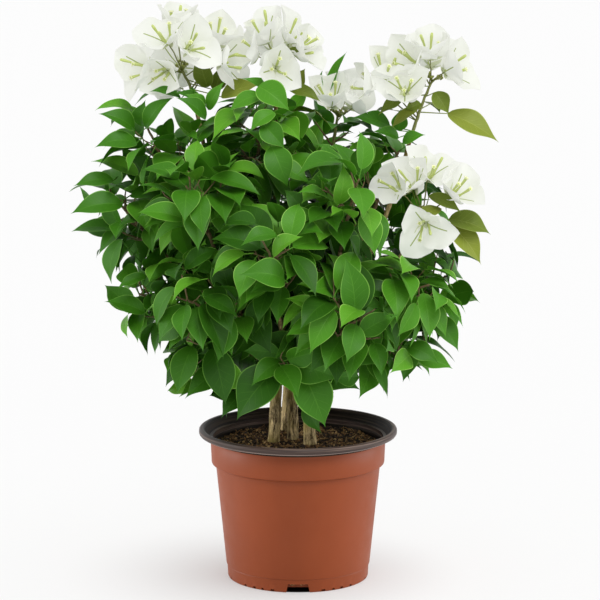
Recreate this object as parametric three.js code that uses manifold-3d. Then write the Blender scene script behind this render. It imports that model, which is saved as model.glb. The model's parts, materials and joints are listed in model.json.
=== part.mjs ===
// A white bougainvillea bush in its nursery pot: four woody stems, boughs, a round leafy crown
// and sprays of papery white bracts. Millimetres, +Z up, seen from -Y in its usual view.
// The origin is the middle of the pot's underside.
import * as THREE from "three";
import { mergeVertices } from "three/addons/utils/BufferGeometryUtils.js";
import Module from "manifold-3d";

const wasm = await Module();
wasm.setup();

// What neighbouring solids keep between them.
const GAP = 0.3;

// The pot, a two-tone 17 cm nursery pot: terracotta outside, a dark rolled rim and inner skin.
const POT_HEIGHT = 131;
const RIM_RADIUS = 85.2;
const COLLAR_RADIUS = 75.2;
const COLLAR_TOP = 123;
const COLLAR_BOTTOM = 100.7;
const BODY_TOP_RADIUS = 70.8;
const BASE_RADIUS = 60.6;
const WALL = 1.7;
const FLOOR_BOTTOM = 4;
const FLOOR_TOP = 6;
const BOSS_RADIUS = 12;
const FOOT_WIDTH = 2.6;
const DRAINS = 3;
const DRAIN_WIDTH = 17;
const DRAIN_HEIGHT = 7.5;
const DRAIN_DEPTH = 9;
const SKIN = 1.7;
const SOIL_TOP = 118;
const POT_SIDES = 32;

// The crown. A bearing is 0 towards the viewer and 90 to the viewer's right.
const CROWN_X = -5;
const CROWN_HEART = 262;
const LOWEST_LEAF = 133;

// The stems stand on the soil and end where the boughs leave them.
const STEMS = {
  left: { foot: [-21, 0], tip: [-17, -3], height: 212, radius: 5.4 },
  middle: { foot: [-4, 7.5], tip: [-8, 11], height: 216, radius: 5 },
  right: { foot: [10, -9.4], tip: [8, -12], height: 214, radius: 5.4 },
  back: { foot: [-11, 44], tip: [-7, 38], height: 208, radius: 4.4 },
};
const STEM_TAPER = 0.74;
const STEM_BOW = [0.8, 0.6, 0];
const STEM_BELOW_CUT = 4;
const STEM_SIDES = 7;
const STEM_STEPS = 6;
const FLARE_HEIGHT = 9;
const FLARE = 1.22;

// Each mass of leaves: the stem that carries its bough, its middle and how far it reaches.
const LEAF_MASSES = {
  left_high: { stem: "left", bearing: 272, out: 113, height: 380, reach: 60, seed: 25 },
  left: { stem: "left", bearing: 267, out: 136, height: 318, reach: 58, seed: 1 },
  left_low: { stem: "left", bearing: 279, out: 112, height: 250, reach: 56, seed: 27 },
  low_left: { stem: "left", bearing: 305, out: 78, height: 200, reach: 56, seed: 48 },
  low_front: { stem: "right", bearing: 8, out: 66, height: 190, reach: 56, seed: 15 },
  low_right: { stem: "right", bearing: 68, out: 92, height: 208, reach: 60, seed: 59 },
  right: { stem: "right", bearing: 90, out: 110, height: 258, reach: 58, seed: 4 },
  right_high: { stem: "middle", bearing: 97, out: 86, height: 362, reach: 60, seed: 45 },
  top: { stem: "middle", bearing: 285, out: 30, height: 388, reach: 62, seed: 27 },
  front_high_left: { stem: "left", bearing: 314, out: 104, height: 336, reach: 58, seed: 5 },
  front_high_right: { stem: "right", bearing: 28, out: 100, height: 344, reach: 58, seed: 44 },
  front: { stem: "middle", bearing: 352, out: 112, height: 296, reach: 56, seed: 6 },
  front_left: { stem: "left", bearing: 320, out: 110, height: 256, reach: 56, seed: 9 },
  front_right: { stem: "right", bearing: 24, out: 110, height: 246, reach: 58, seed: 37 },
  right_front: { stem: "right", bearing: 58, out: 112, height: 262, reach: 56, seed: 20 },
  back_left: { stem: "back", bearing: 222, out: 116, height: 300, reach: 64, seed: 9 },
  back_right: { stem: "back", bearing: 138, out: 116, height: 300, reach: 64, seed: 27 },
  back_high: { stem: "middle", bearing: 181, out: 84, height: 352, reach: 64, seed: 20 },
  back_low_left: { stem: "back", bearing: 214, out: 92, height: 216, reach: 60, seed: 51 },
  back_low_right: { stem: "back", bearing: 142, out: 92, height: 216, reach: 60, seed: 51 },
};

// Each flowering spray: its space and the end of its stem, its clusters of three bracts, with how
// far along the stem each one's stalk leaves it and the way that it opens, and its leaves: how far
// along the stem each one stands, the way that it points and its length.
const SPRAYS = {
  bracts_left: {
    stem: "left", middle: [-96, 4, 462], reach: 72, hub: [-98, -2, 440], seed: 31,
    clusters: [
      { from: 0.98, at: [-109, -14, 457], opens: [-0.45, -0.45, 0.75] },
      { from: 0.9, at: [-116, -8, 441], opens: [-0.85, -0.4, 0.2] },
      { from: 0.94, at: [-95, 4, 474], opens: [0.05, 0.15, 1] },
      { from: 0.84, at: [-98, 18, 446], opens: [-0.2, 0.85, 0.35] },
      { from: 0.35, at: [-67, 8, 449], opens: [0.1, -0.15, 1] },
      { from: 0.45, at: [-68, 30, 444], opens: [0.15, 0.7, 0.5] },
    ],
    leaves: [[0.8, [0.3, -0.1, 1], 24], [0.5, [-0.6, 0.6, 0.5], 30], [0.2, [0.8, -0.5, 0.5], 38]],
  },
  bracts_top: {
    stem: "middle", middle: [-18, -4, 458], reach: 58, hub: [-18, 0, 440], seed: 33,
    clusters: [
      { from: 0.98, at: [-24, 2, 464], opens: [-0.2, -0.25, 0.95] },
      { from: 0.9, at: [-18, -15, 448], opens: [0.1, -0.95, 0.3] },
      { from: 0.94, at: [-8, 4, 454], opens: [0.6, -0.05, 0.75] },
    ],
    leaves: [[0.7, [0.8, -0.4, 0.3], 32], [0.85, [0.9, -0.3, 0.7], 26], [0.6, [0.1, 0.9, 0.5], 38]],
  },
  bracts_back: {
    stem: "back", middle: [34, 18, 414], reach: 56, hub: [34, 20, 398], seed: 34,
    clusters: [
      { from: 0.98, at: [27, 10, 408], opens: [-0.25, -0.45, 0.85] },
      { from: 0.9, at: [40, 28, 408], opens: [0.2, 0.6, 0.75] },
    ],
    leaves: [
      [0.55, [-0.6, 0.6, 0.5], 34], [0.8, [0.3, 0.9, 0.4], 36], [0.95, [0.1, -0.15, 1], 46],
    ],
  },
  bracts_right: {
    stem: "right", middle: [108, 0, 430], reach: 76, hub: [113, 2, 430], seed: 36,
    clusters: [
      { from: 0.98, at: [107, -4, 448], opens: [-0.3, -0.3, 0.9] },
      { from: 0.94, at: [122, -6, 439], opens: [0.75, -0.45, 0.5] },
      { from: 0.9, at: [113, 17, 440], opens: [0.15, 0.8, 0.55] },
      { from: 0.3, at: [72, -4, 426], opens: [-0.6, -0.4, 0.65] },
      { from: 0.4, at: [88, -12, 424], opens: [0.1, -0.85, 0.4] },
    ],
    leaves: [
      [0.3, [0.95, -0.2, 0.35], 54], [0.72, [0.8, -0.35, 0.1], 30], [0.5, [-0.8, -0.4, 0.1], 26],
      [0.45, [0.3, 0.9, 0.35], 40], [0.1, [-0.7, 0.6, 0.4], 34],
    ],
  },
  bracts_low_right: {
    stem: "right", middle: [112, -42, 332], reach: 68, hub: [106, -38, 322], seed: 37,
    clusters: [
      { from: 0.94, at: [97, -46, 339], opens: [-0.3, -0.55, 0.75] },
      { from: 0.9, at: [130, -40, 335], opens: [0.5, -0.5, 0.7] },
      { from: 0.98, at: [106, -56, 318], opens: [-0.05, -0.9, -0.25] },
    ],
    leaves: [
      [0.85, [-0.85, -0.45, 0.1], 28], [0.8, [0.85, -0.5, 0.1], 36], [0.9, [-0.4, -0.9, 0.2], 30],
      [0.55, [0.8, -0.3, -0.3], 40],
    ],
  },
};

// The golden angle, by which what grows turns round what carries it.
const TURN = THREE.MathUtils.degToRad(137.5);

// Boughs share the upper part of their stem, from its highest bough down. Each bends out and up,
// and one that finds no clear way at its own bearing sways to the side or lifts less.
const BOUGH_RADIUS = 2.6;
const BOUGH_TIP_RADIUS = 1.7;
const BOUGH_SIDES = 4;
const BOUGH_STEPS = 3;
const HIGHEST_BOUGH = 0.96;
const BOUGH_SHARE_OF_STEM = 0.46;
const BOUGH_BEND = 0.55;
const SHORTEST_BEND = 18;
const LEAST_RISE = 8;
const BOUGH_INTO_MASS = 4;
const SWAYS = [0, 0.3, -0.3, 0.6, -0.6, 0.9, -0.9, 1.2, -1.2, 1.6, -1.6];
const LIFTS = [0.3, 0.15, 0.02];
const FOOT_NICK = 25;

// The stem of a mass and its side twigs, three-sided. Reaches are shares of the mass's own.
const AXIS_REACH = 0.6;
const AXIS_SWERVE = 0.5;
const TWIG_RADIUS = 1.3;
const TWIG_TIP_RADIUS = 0.9;
const TWIGS = 5;
const LOWEST_TWIG = 0.176;
const TWIG_SPACING = 0.152;
const TWIG_REACH = 0.64;
const TWIG_SIZES = [1, 0.8, 0.6, 0.42];
const TWIG_RISE = 0.12;
const TWIG_STEP = 45;
const ROOM_FOR_TUFT = 8;

// Leaves, a little larger than life as they are fewer. Widths and folds are shares of the length.
const LEAVES = 16;
const LEAF_STEP = 12;
const FIRST_LEAF = 8;
const LEAF_LEAN = 1;
const TUFT = 3;
const TUFT_TOP = 0.98;
const TUFT_LEAN = 0.55;
const TUFT_SPREAD = 0.15;
const TUFT_AGE = 0.2;
const STALK = 5;
const BLADE = 51;
const YOUNG_BLADE = 43;
const BLADE_WIDTH = 0.62;
const BLADE_THICKNESS = 1;
const MIDRIB_STEPS = 8;
const WIDEST = 3;
const FOLD = 0.16;
const CROWDED = 12;
const CLEARANCE = 0.6;
const TRIES = [0, 0.6, -0.6, 1.2, -1.2, 1.9, -1.9, 2.6, -2.6, 3.1];
const SHRINK = [1, 0.85, 0.7];

// Bracts, three to a cluster, that cup round the way the cluster opens.
const BRACT = 34;
const BRACT_SIZES = [1, 0.88, 0.76];
const BRACT_WIDTH = 0.82;
const BRACT_CURL = 0.8;
const BRACT_FOLD = 0.14;
const BRACT_STEP = 1;

const UP = new THREE.Vector3(0, 0, 1);
const DOWN = new THREE.Vector3(0, 0, -1);
const HEART = new THREE.Vector3(CROWN_X, 0, CROWN_HEART);
const COLOURS = {
  terracotta: { color: 0x8f4a2e, roughness: 0.55 },
  rim: { color: 0x453b38, roughness: 0.45 },
  soil: { color: 0x4a3622, roughness: 1 },
  bark: { color: 0x8a7750, roughness: 0.9 },
  leaf: { color: 0x3f8a26, roughness: 0.5 },
  bract: { color: 0xf1f3ec, roughness: 0.7 },
};

// A multiplying generator: the same draws for the same seed on any machine.
function seeded(seed) {
  let state = seed * 7919;
  const draw = () => {
    state = (state * 16807) % 2147483647;
    return state / 2147483647;
  };
  draw();
  draw();
  return draw;
}

function solidOf(geometry) {
  const bare = geometry.clone();
  bare.deleteAttribute("normal");
  bare.deleteAttribute("uv");
  const merged = mergeVertices(bare, 1e-4);
  return new wasm.Manifold(
    new wasm.Mesh({
      numProp: 3,
      vertProperties: new Float32Array(merged.attributes.position.array),
      triVerts: new Uint32Array(merged.index.array),
    }),
  );
}

// The largest body of a solid as a geometry. Loose scraps and sealed hollows are dropped.
function geometryOf(solid) {
  const whole = solid.decompose().sort((a, b) => b.volume() - a.volume())[0];
  const { vertProperties, triVerts } = whole.getMesh();
  return new THREE.BufferGeometry()
    .setAttribute("position", new THREE.BufferAttribute(vertProperties, 3))
    .setIndex(new THREE.BufferAttribute(triVerts, 1));
}

function join(solids) {
  return solids.reduce((whole, solid) => whole.add(solid));
}

// A closed turned piece standing on +Z from a profile of [radius, height] points.
function turned(profile) {
  const points = profile.map(([radius, height]) => new THREE.Vector2(radius, height));
  return new THREE.LatheGeometry(points, POT_SIDES).rotateX(Math.PI / 2);
}

// A round limb that follows a curve and tapers by radiusAt(0..1).
function limb(curve, radiusAt, sides, steps) {
  const geometry = new THREE.CylinderGeometry(1, 1, 1, sides, steps);
  const { tangents, normals, binormals } = curve.computeFrenetFrames(steps);
  const corner = geometry.attributes.position;
  const points = tangents.map((_, i) => curve.getPointAt(i / steps));
  for (let i = 0; i < corner.count; i++) {
    const step = Math.round((corner.getY(i) + 0.5) * steps);
    const radius = radiusAt(step / steps);
    const place = points[step]
      .clone()
      .addScaledVector(normals[step], corner.getZ(i) * radius)
      .addScaledVector(binormals[step], corner.getX(i) * radius);
    corner.setXYZ(i, place.x, place.y, place.z);
  }
  return geometry;
}

// A thin pointed blade as an octahedron: root, tip, two edges, and a top and bottom face centre.
function bladeGeometry({ root, tip, left, right, above, below }) {
  const geometry = new THREE.OctahedronGeometry(1, 0);
  const corner = geometry.attributes.position;
  for (let i = 0; i < corner.count; i++) {
    const [x, y, z] = [corner.getX(i), corner.getY(i), corner.getZ(i)];
    let place = z > 0.5 ? above : below;
    if (x > 0.5) place = tip;
    if (x < -0.5) place = root;
    if (y > 0.5) place = left;
    if (y < -0.5) place = right;
    corner.setXYZ(i, place.x, place.y, place.z);
  }
  return geometry;
}

// The direction of a weighted sum of vectors.
function mix(...terms) {
  const sum = new THREE.Vector3();
  for (const [vector, weight] of terms) sum.addScaledVector(vector, weight);
  return sum.normalize();
}

function beyond(point, direction, distance) {
  return point.clone().addScaledVector(direction, distance);
}

function between(a, b, share) {
  return a.clone().lerp(b, share);
}

// A unit vector square to axis, at an angle round it from the side that faces up.
function spoke(axis, angle) {
  const base = Math.abs(axis.z) > 0.95 ? new THREE.Vector3(0, -1, 0) : UP;
  const first = new THREE.Vector3().crossVectors(axis, base).normalize();
  const second = new THREE.Vector3().crossVectors(first, axis);
  return first.multiplyScalar(Math.sin(angle)).addScaledVector(second, Math.cos(angle));
}

function outwardAt(point) {
  return point.clone().sub(HEART).normalize();
}

function samplesOf(curve, count) {
  return Array.from({ length: count + 1 }, (_, i) => curve.getPointAt(i / count));
}

// The masses with their middles, each the middle of a ball that the mass's space lies in.
function middleOf({ bearing, out, height, middle }) {
  if (middle) return new THREE.Vector3(...middle);
  const angle = THREE.MathUtils.degToRad(bearing);
  return new THREE.Vector3(CROWN_X + out * Math.sin(angle), -out * Math.cos(angle), height);
}

const masses = Object.entries({ ...LEAF_MASSES, ...SPRAYS }).map(([name, given]) => ({
  name,
  ...given,
  middle: middleOf(given),
}));

// Whether a point lies in a mass's own space: its ball, cut by planes between it and the others.
function inSpace(mass, point, room = CLEARANCE) {
  const own = point.distanceToSquared(mass.middle) - mass.reach ** 2;
  if (own > 0 || point.z < LOWEST_LEAF) return false;
  return masses.every((other) => {
    if (other === mass) return true;
    const theirs = point.distanceToSquared(other.middle) - other.reach ** 2;
    return (theirs - own) / (2 * mass.middle.distanceTo(other.middle)) > room;
  });
}

// The stems lean evenly from their feet to where the boughs leave them.
function stemCurve({ foot, tip, height }) {
  const start = new THREE.Vector3(...foot, SOIL_TOP + GAP);
  const end = new THREE.Vector3(...tip, height);
  const bow = between(start, end, 0.5).add(new THREE.Vector3(...STEM_BOW));
  return new THREE.QuadraticBezierCurve3(start, bow, end);
}

function stemRadius(stem, t) {
  const rise = t * (stem.height - SOIL_TOP);
  const flare = 1 + (FLARE - 1) * Math.max(0, 1 - rise / FLARE_HEIGHT) ** 2;
  return stem.radius * flare * (1 - (1 - STEM_TAPER) * t);
}

// A stem, or with spare the room that a bough leaves round it, cut flat at the ground.
function stemSolid(stem, spare) {
  const curve = stemCurve(stem);
  const start = beyond(curve.getPointAt(0), curve.getTangentAt(0), -STEM_BELOW_CUT);
  const end = beyond(curve.getPointAt(1), curve.getTangentAt(1), spare);
  const whole = new THREE.CatmullRomCurve3([start, ...samplesOf(curve, 3), end]);
  const radiusAt = (t) => stemRadius(stem, t) + spare;
  const below = new THREE.BoxGeometry(60, 60, 40);
  below.translate(stem.foot[0], stem.foot[1], SOIL_TOP + GAP - 20);
  return solidOf(limb(whole, radiusAt, STEM_SIDES, STEM_STEPS)).subtract(solidOf(below));
}

// Every stem and bough with the room that what grows leaves round it.
const limbs = [];

function clearOfLimbs(solid, ownBough) {
  return limbs.every(({ bough, room }) => bough === ownBough || solid.intersect(room).isEmpty());
}

// The boughs of one stem leave it one below the other, in the order of their masses' heights.
function boughStart(mass) {
  const siblings = masses.filter((other) => other.stem === mass.stem);
  const order = [...siblings].sort((a, b) => b.middle.z - a.middle.z).indexOf(mass);
  const share = (BOUGH_SHARE_OF_STEM * order) / siblings.length;
  return stemCurve(STEMS[mass.stem]).getPointAt(HIGHEST_BOUGH - share);
}

// A bough leaves its stem outwards, turns up and ends just inside its mass's space.
function boughCurve(mass, lift, sway) {
  const start = boughStart(mass);
  const level = new THREE.Vector3(mass.middle.x - start.x, mass.middle.y - start.y, 0);
  level.setLength(Math.max(SHORTEST_BEND, BOUGH_BEND * level.length())).applyAxisAngle(UP, sway);
  const bend = beyond(start, level, 1);
  bend.z += Math.max(LEAST_RISE, lift * (mass.middle.z - start.z));
  const whole = new THREE.QuadraticBezierCurve3(start, bend, mass.middle);
  let end = 1;
  while (end > 0.05 && inSpace(mass, whole.getPointAt(end))) end -= 0.01;
  const cut = end + BOUGH_INTO_MASS / whole.getLength();
  return new THREE.CatmullRomCurve3(
    Array.from({ length: BOUGH_STEPS + 1 }, (_, i) => whole.getPointAt((cut * i) / BOUGH_STEPS)),
  );
}

function boughRadius(t) {
  return BOUGH_RADIUS + (BOUGH_TIP_RADIUS - BOUGH_RADIUS) * t;
}

function boughSolid(curve, spare) {
  return solidOf(limb(curve, (t) => boughRadius(t) + spare, BOUGH_SIDES, BOUGH_STEPS));
}

// Each bough takes the first way that keeps it off the other limbs but for a nick at its foot,
// where it crowds the bough above it.
function placeBough(mass) {
  const seat = stemSolid(STEMS[mass.stem], GAP);
  for (const lift of LIFTS) {
    for (const sway of SWAYS) {
      const bough = boughCurve(mass, lift, sway);
      const whole = boughSolid(bough, 0).subtract(seat);
      const solid = limbs
        .filter((other) => other.bough !== mass.stem)
        .reduce((rest, other) => rest.subtract(other.room), whole);
      if (whole.volume() - solid.volume() < FOOT_NICK) return { bough, solid };
    }
  }
  throw new Error(`${mass.name} finds no way for its bough`);
}

for (const [name, stem] of Object.entries(STEMS)) {
  limbs.push({ bough: name, room: stemSolid(stem, CLEARANCE) });
}
for (const mass of [...masses].sort((a, b) => b.middle.z - a.middle.z)) {
  Object.assign(mass, placeBough(mass));
  mass.heading = mass.bough.getTangentAt(1);
  mass.root = beyond(mass.bough.getPointAt(1), mass.heading, GAP);
  limbs.push({ bough: mass.name, room: boughSolid(mass.bough, CLEARANCE) });
}

// The points of a midrib, which sets off along a heading, curls back from up and sinks.
function midrib(start, along, up, length, curl, sag) {
  const points = [start.clone()];
  for (let i = 0; i < MIDRIB_STEPS; i++) {
    const t = (i + 0.5) / MIDRIB_STEPS;
    const heading = mix([along, Math.cos(curl * t)], [up, -Math.sin(curl * t)], [DOWN, sag * t]);
    points.push(beyond(points[i], heading, length / MIDRIB_STEPS));
  }
  return points;
}

// A leaf or bract that leaves its twig at a point: its midrib and the corners of its blade.
function growBlade(at, along, upwards, form) {
  const side = new THREE.Vector3().crossVectors(along, upwards).normalize();
  const up = new THREE.Vector3().crossVectors(side, along);
  const line = midrib(beyond(at, along, form.stalk), along, up, form.length, form.curl, form.sag);
  const heading = line[WIDEST + 1].clone().sub(line[WIDEST - 1]).normalize();
  const face = new THREE.Vector3().crossVectors(side, heading);
  const widest = line[WIDEST];
  const edge = (sign) =>
    beyond(beyond(widest, side, (sign * form.width) / 2), face, form.fold * form.width);
  const [root, tip, left, right] = [at, line[MIDRIB_STEPS], edge(-1), edge(1)];
  return {
    line,
    corners: {
      root,
      tip,
      left,
      right,
      above: beyond(widest, face, BLADE_THICKNESS / 2),
      below: beyond(widest, face, -BLADE_THICKNESS / 2),
    },
    edges: [
      [between(root, left, 0.3), left],
      [between(root, right, 0.3), right],
      [left, tip],
      [right, tip],
      [between(root, widest, 0.3), tip],
    ],
    faces: [
      [root, left, widest],
      [root, widest, right],
      [left, tip, widest],
      [right, widest, tip],
    ],
    samples: [...line, ...[0.35, 0.7, 1].flatMap((share) => [
      between(root, left, share), between(root, right, share),
      between(tip, left, share), between(tip, right, share),
    ])],
  };
}

// Whether a straight edge passes through a triangle.
function pierces([a, b], [p, q, r]) {
  const ray = new THREE.Ray(a, b.clone().sub(a).normalize());
  const hit = ray.intersectTriangle(p, q, r, false, new THREE.Vector3());
  return hit !== null && hit.distanceTo(a) < a.distanceTo(b);
}

function cross(one, other) {
  return [[one, other], [other, one]].some(([edged, faced]) =>
    edged.edges.some((edge) => faced.faces.some((face) => pierces(edge, face))),
  );
}

function fits(mass, blade, grown) {
  const middle = blade.line[WIDEST];
  return (
    blade.samples.every((point) => inSpace(mass, point)) &&
    grown.every((other) => other.line[WIDEST].distanceTo(middle) > CROWDED) &&
    !grown.some((other) => cross(blade, other)) &&
    clearOfLimbs(bladeSolid(blade))
  );
}

// Grows a leaf at the first turn round its twig where it fits, whole or somewhat smaller.
function fitLeaf(mass, at, heading, turn, lean, form, grown) {
  const away = outwardAt(at);
  const upwards = mix([UP, 0.75], [away, 0.65], [heading, 0.2]);
  for (const size of SHRINK) {
    for (const swing of TRIES) {
      const along = mix(
        [heading, Math.cos(lean)],
        [spoke(heading, turn + swing), Math.sin(lean)],
        [away, form.outward],
        [DOWN, form.droop],
      );
      const scaled = { ...form, length: form.length * size, width: form.width * size };
      const blade = growBlade(at, along, upwards, scaled);
      if (fits(mass, blade, grown)) {
        grown.push(blade);
        return;
      }
    }
  }
}

// A young leaf stands up and is smaller. An old one hangs.
function leafForm(age, draw) {
  const length = (YOUNG_BLADE + (BLADE - YOUNG_BLADE) * age) * (0.9 + 0.2 * draw());
  return {
    stalk: STALK,
    length,
    width: length * BLADE_WIDTH,
    curl: 0.35 + 0.5 * draw(),
    sag: 0.25 + 0.75 * age,
    droop: 0.4 * age,
    outward: 0.35,
    fold: FOLD,
  };
}

// The tuft of young leaves at the tip of a twig.
function growTuft(mass, curve, draw, grown) {
  let turn = draw() * 2 * Math.PI;
  for (let i = 0; i < TUFT; i++) {
    const t = TUFT_TOP - (0.5 * LEAF_STEP * i) / curve.getLength();
    const lean = TUFT_LEAN + TUFT_SPREAD * i;
    const form = leafForm(TUFT_AGE * i, draw);
    fitLeaf(mass, curve.getPointAt(t), curve.getTangentAt(t), turn, lean, form, grown);
    turn += TURN;
  }
}

// Leaves along a twig, alternate, older and larger towards its foot.
function growLeaves(mass, curve, draw, grown) {
  const length = curve.getLength();
  let turn = draw() * 2 * Math.PI;
  for (let s = length - 2 * LEAF_STEP; s > FIRST_LEAF && grown.length < LEAVES; s -= LEAF_STEP) {
    const t = s / length;
    const form = leafForm(1 - 0.6 * t, draw);
    fitLeaf(mass, curve.getPointAt(t), curve.getTangentAt(t), turn, LEAF_LEAN, form, grown);
    turn += TURN;
  }
}

// The stem of a mass runs on from its bough, through its middle, to near its far side.
function massAxis(mass) {
  for (const swing of TRIES) {
    const away = mix([outwardAt(mass.middle), 1], [UP, 0.3]);
    away.addScaledVector(spoke(away, swing), swing === 0 ? 0 : AXIS_SWERVE).normalize();
    let reach = AXIS_REACH * mass.reach;
    const beyondTip = () => beyond(mass.middle, away, reach + ROOM_FOR_TUFT);
    while (!inSpace(mass, beyondTip()) && reach > 0) reach -= 2;
    const tip = beyond(mass.middle, away, reach);
    const bend = beyond(mass.root, mass.heading, 0.5 * mass.root.distanceTo(tip));
    const axis = new THREE.QuadraticBezierCurve3(mass.root, bend, tip);
    if (clearOfLimbs(twigSolid(axis, BOUGH_TIP_RADIUS, TWIG_RADIUS), mass.name)) return axis;
  }
  throw new Error(`${mass.name} finds no way for its stem`);
}

// Side twigs leave the stem of a mass by a steady turn, each as long as its space allows.
function sideTwigs(mass, axis, draw) {
  const twigs = [];
  let turn = draw() * 2 * Math.PI;
  for (let i = 0; i < TWIGS; i++) {
    const t = LOWEST_TWIG + TWIG_SPACING * i;
    const foot = axis.getPointAt(t);
    const heading = axis.getTangentAt(t);
    const out = mix([heading, 0.5], [spoke(heading, turn), 0.85], [UP, 0.18]);
    for (const size of TWIG_SIZES) {
      const length = mass.reach * TWIG_REACH * size * (0.85 + 0.3 * draw());
      const tip = beyond(beyond(foot, out, length), UP, TWIG_RISE * length);
      const curve = new THREE.QuadraticBezierCurve3(foot, beyond(foot, out, 0.5 * length), tip);
      const way = [...samplesOf(curve, 8).slice(1), beyond(tip, out, ROOM_FOR_TUFT)];
      if (!way.every((point) => inSpace(mass, point, TWIG_RADIUS + GAP))) continue;
      if (!clearOfLimbs(twigSolid(curve, TWIG_RADIUS, TWIG_TIP_RADIUS))) continue;
      twigs.push(curve);
      break;
    }
    turn += TURN;
  }
  return twigs;
}

function twigSolid(curve, start, end) {
  const steps = Math.ceil(curve.getLength() / TWIG_STEP);
  return solidOf(limb(curve, (t) => start + (end - start) * t, 3, steps));
}

function bladeSolid({ corners }) {
  return solidOf(bladeGeometry(corners));
}

function growLeafMass(mass) {
  const draw = seeded(mass.seed);
  const axis = massAxis(mass);
  const twigs = sideTwigs(mass, axis, draw);
  const grown = [];
  for (const curve of [axis, ...twigs]) growTuft(mass, curve, draw, grown);
  for (const curve of [...twigs, axis]) growLeaves(mass, curve, draw, grown);
  return [
    twigSolid(axis, BOUGH_TIP_RADIUS, TWIG_RADIUS),
    ...twigs.map((twig) => twigSolid(twig, TWIG_RADIUS, TWIG_TIP_RADIUS)),
    ...grown.map(bladeSolid),
  ];
}

// Three bracts cupped round the way that a cluster opens.
function growCluster(mass, centre, opens, roll, grown) {
  for (let i = 0; i < 3; i++) {
    const out = spoke(opens, roll + (i * 2 * Math.PI) / 3);
    const along = mix([opens, 0.8], [out, 0.6]);
    const inwards = mix([opens, 0.6], [out, -0.8]);
    for (const size of BRACT_SIZES) {
      const form = {
        stalk: 0,
        length: BRACT * size,
        width: BRACT * size * BRACT_WIDTH,
        curl: BRACT_CURL,
        sag: 0,
        fold: BRACT_FOLD,
      };
      const bract = growBlade(beyond(centre, opens, -BRACT_STEP * i), along, inwards, form);
      if (fitsAlone(mass, bract)) {
        grown.push(bract);
        break;
      }
    }
  }
}

function fitsAlone(mass, blade) {
  return blade.samples.every((point) => inSpace(mass, point)) && clearOfLimbs(bladeSolid(blade));
}

function growSpray(mass) {
  const draw = seeded(mass.seed);
  const hub = new THREE.Vector3(...mass.hub);
  const bend = beyond(mass.root, mass.heading, 0.5 * mass.root.distanceTo(hub));
  const axis = new THREE.QuadraticBezierCurve3(mass.root, bend, hub);
  const grown = [];
  const solids = [twigSolid(axis, BOUGH_TIP_RADIUS, TWIG_RADIUS)];
  for (const { from, at, opens } of mass.clusters) {
    const centre = new THREE.Vector3(...at);
    const way = new THREE.Vector3(...opens).normalize();
    const stalk = new THREE.LineCurve3(axis.getPointAt(from), beyond(centre, way, 1));
    solids.push(twigSolid(stalk, TWIG_TIP_RADIUS, TWIG_RADIUS));
    growCluster(mass, centre, way, draw() * 2, grown);
  }
  for (const [share, towards, length] of mass.leaves) {
    const along = new THREE.Vector3(...towards).normalize();
    const form = { ...leafForm(0.5, draw), length, width: length * BLADE_WIDTH };
    const upwards = mix([UP, 0.7], [outwardAt(hub), 0.6]);
    const leaf = growBlade(axis.getPointAt(share), along, upwards, form);
    if (fitsAlone(mass, leaf)) grown.push(leaf);
  }
  return [...solids, ...grown.map(bladeSolid)];
}

// The pot's terracotta body, with its foot, stepped side and stacking collar.
function potBody() {
  const inside = BODY_TOP_RADIUS - WALL;
  const shell = turned([
    [0, 0],
    [BOSS_RADIUS, 0],
    [BOSS_RADIUS + 0.8, FLOOR_BOTTOM],
    [BASE_RADIUS - FOOT_WIDTH - 1, FLOOR_BOTTOM],
    [BASE_RADIUS - FOOT_WIDTH - 0.6, 0],
    [BASE_RADIUS - 1, 0],
    [BASE_RADIUS, 1.4],
    [BASE_RADIUS + 0.6, 11],
    [BASE_RADIUS + 1.3, 11.8],
    [BODY_TOP_RADIUS, COLLAR_BOTTOM - 1.5],
    [BODY_TOP_RADIUS + 0.8, COLLAR_BOTTOM - 0.4],
    [COLLAR_RADIUS - 0.9, COLLAR_BOTTOM + 0.4],
    [COLLAR_RADIUS, COLLAR_TOP],
    [COLLAR_RADIUS - WALL, COLLAR_TOP],
    [COLLAR_RADIUS - WALL - 0.3, COLLAR_BOTTOM + 0.4],
    [inside, COLLAR_BOTTOM - 1.2],
    [BASE_RADIUS - WALL - 0.2, FLOOR_TOP],
    [0, FLOOR_TOP],
  ]);
  const cuts = [];
  for (let i = 0; i < DRAINS; i++) {
    const cut = new THREE.BoxGeometry(DRAIN_WIDTH, DRAIN_DEPTH, 2 * DRAIN_HEIGHT);
    cut.translate(0, -BASE_RADIUS, 0).rotateZ((i * 2 * Math.PI) / DRAINS);
    cuts.push(solidOf(cut));
  }
  return geometryOf(solidOf(shell).subtract(join(cuts)));
}

// The dark rolled rim and the skin that it carries down inside the collar.
function potRim() {
  const sleeve = COLLAR_RADIUS - WALL - GAP;
  const ledge = COLLAR_TOP + GAP;
  const profile = [
    [sleeve - 0.3, COLLAR_BOTTOM + 1],
    [sleeve, ledge],
    [COLLAR_RADIUS + 1.4, ledge],
    [RIM_RADIUS - 1.6, ledge + 2.2],
    [RIM_RADIUS, ledge + 3.4],
    [RIM_RADIUS - 0.4, POT_HEIGHT - 0.8],
    [RIM_RADIUS - 2.6, POT_HEIGHT],
    [RIM_RADIUS - 5.6, POT_HEIGHT - 2.2],
    [sleeve + 0.4, COLLAR_TOP + 1.6],
    [sleeve - 1.4, COLLAR_TOP - 1.6],
    [sleeve - SKIN, COLLAR_BOTTOM + 1],
  ];
  return turned([...profile, profile[0]]);
}

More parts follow.
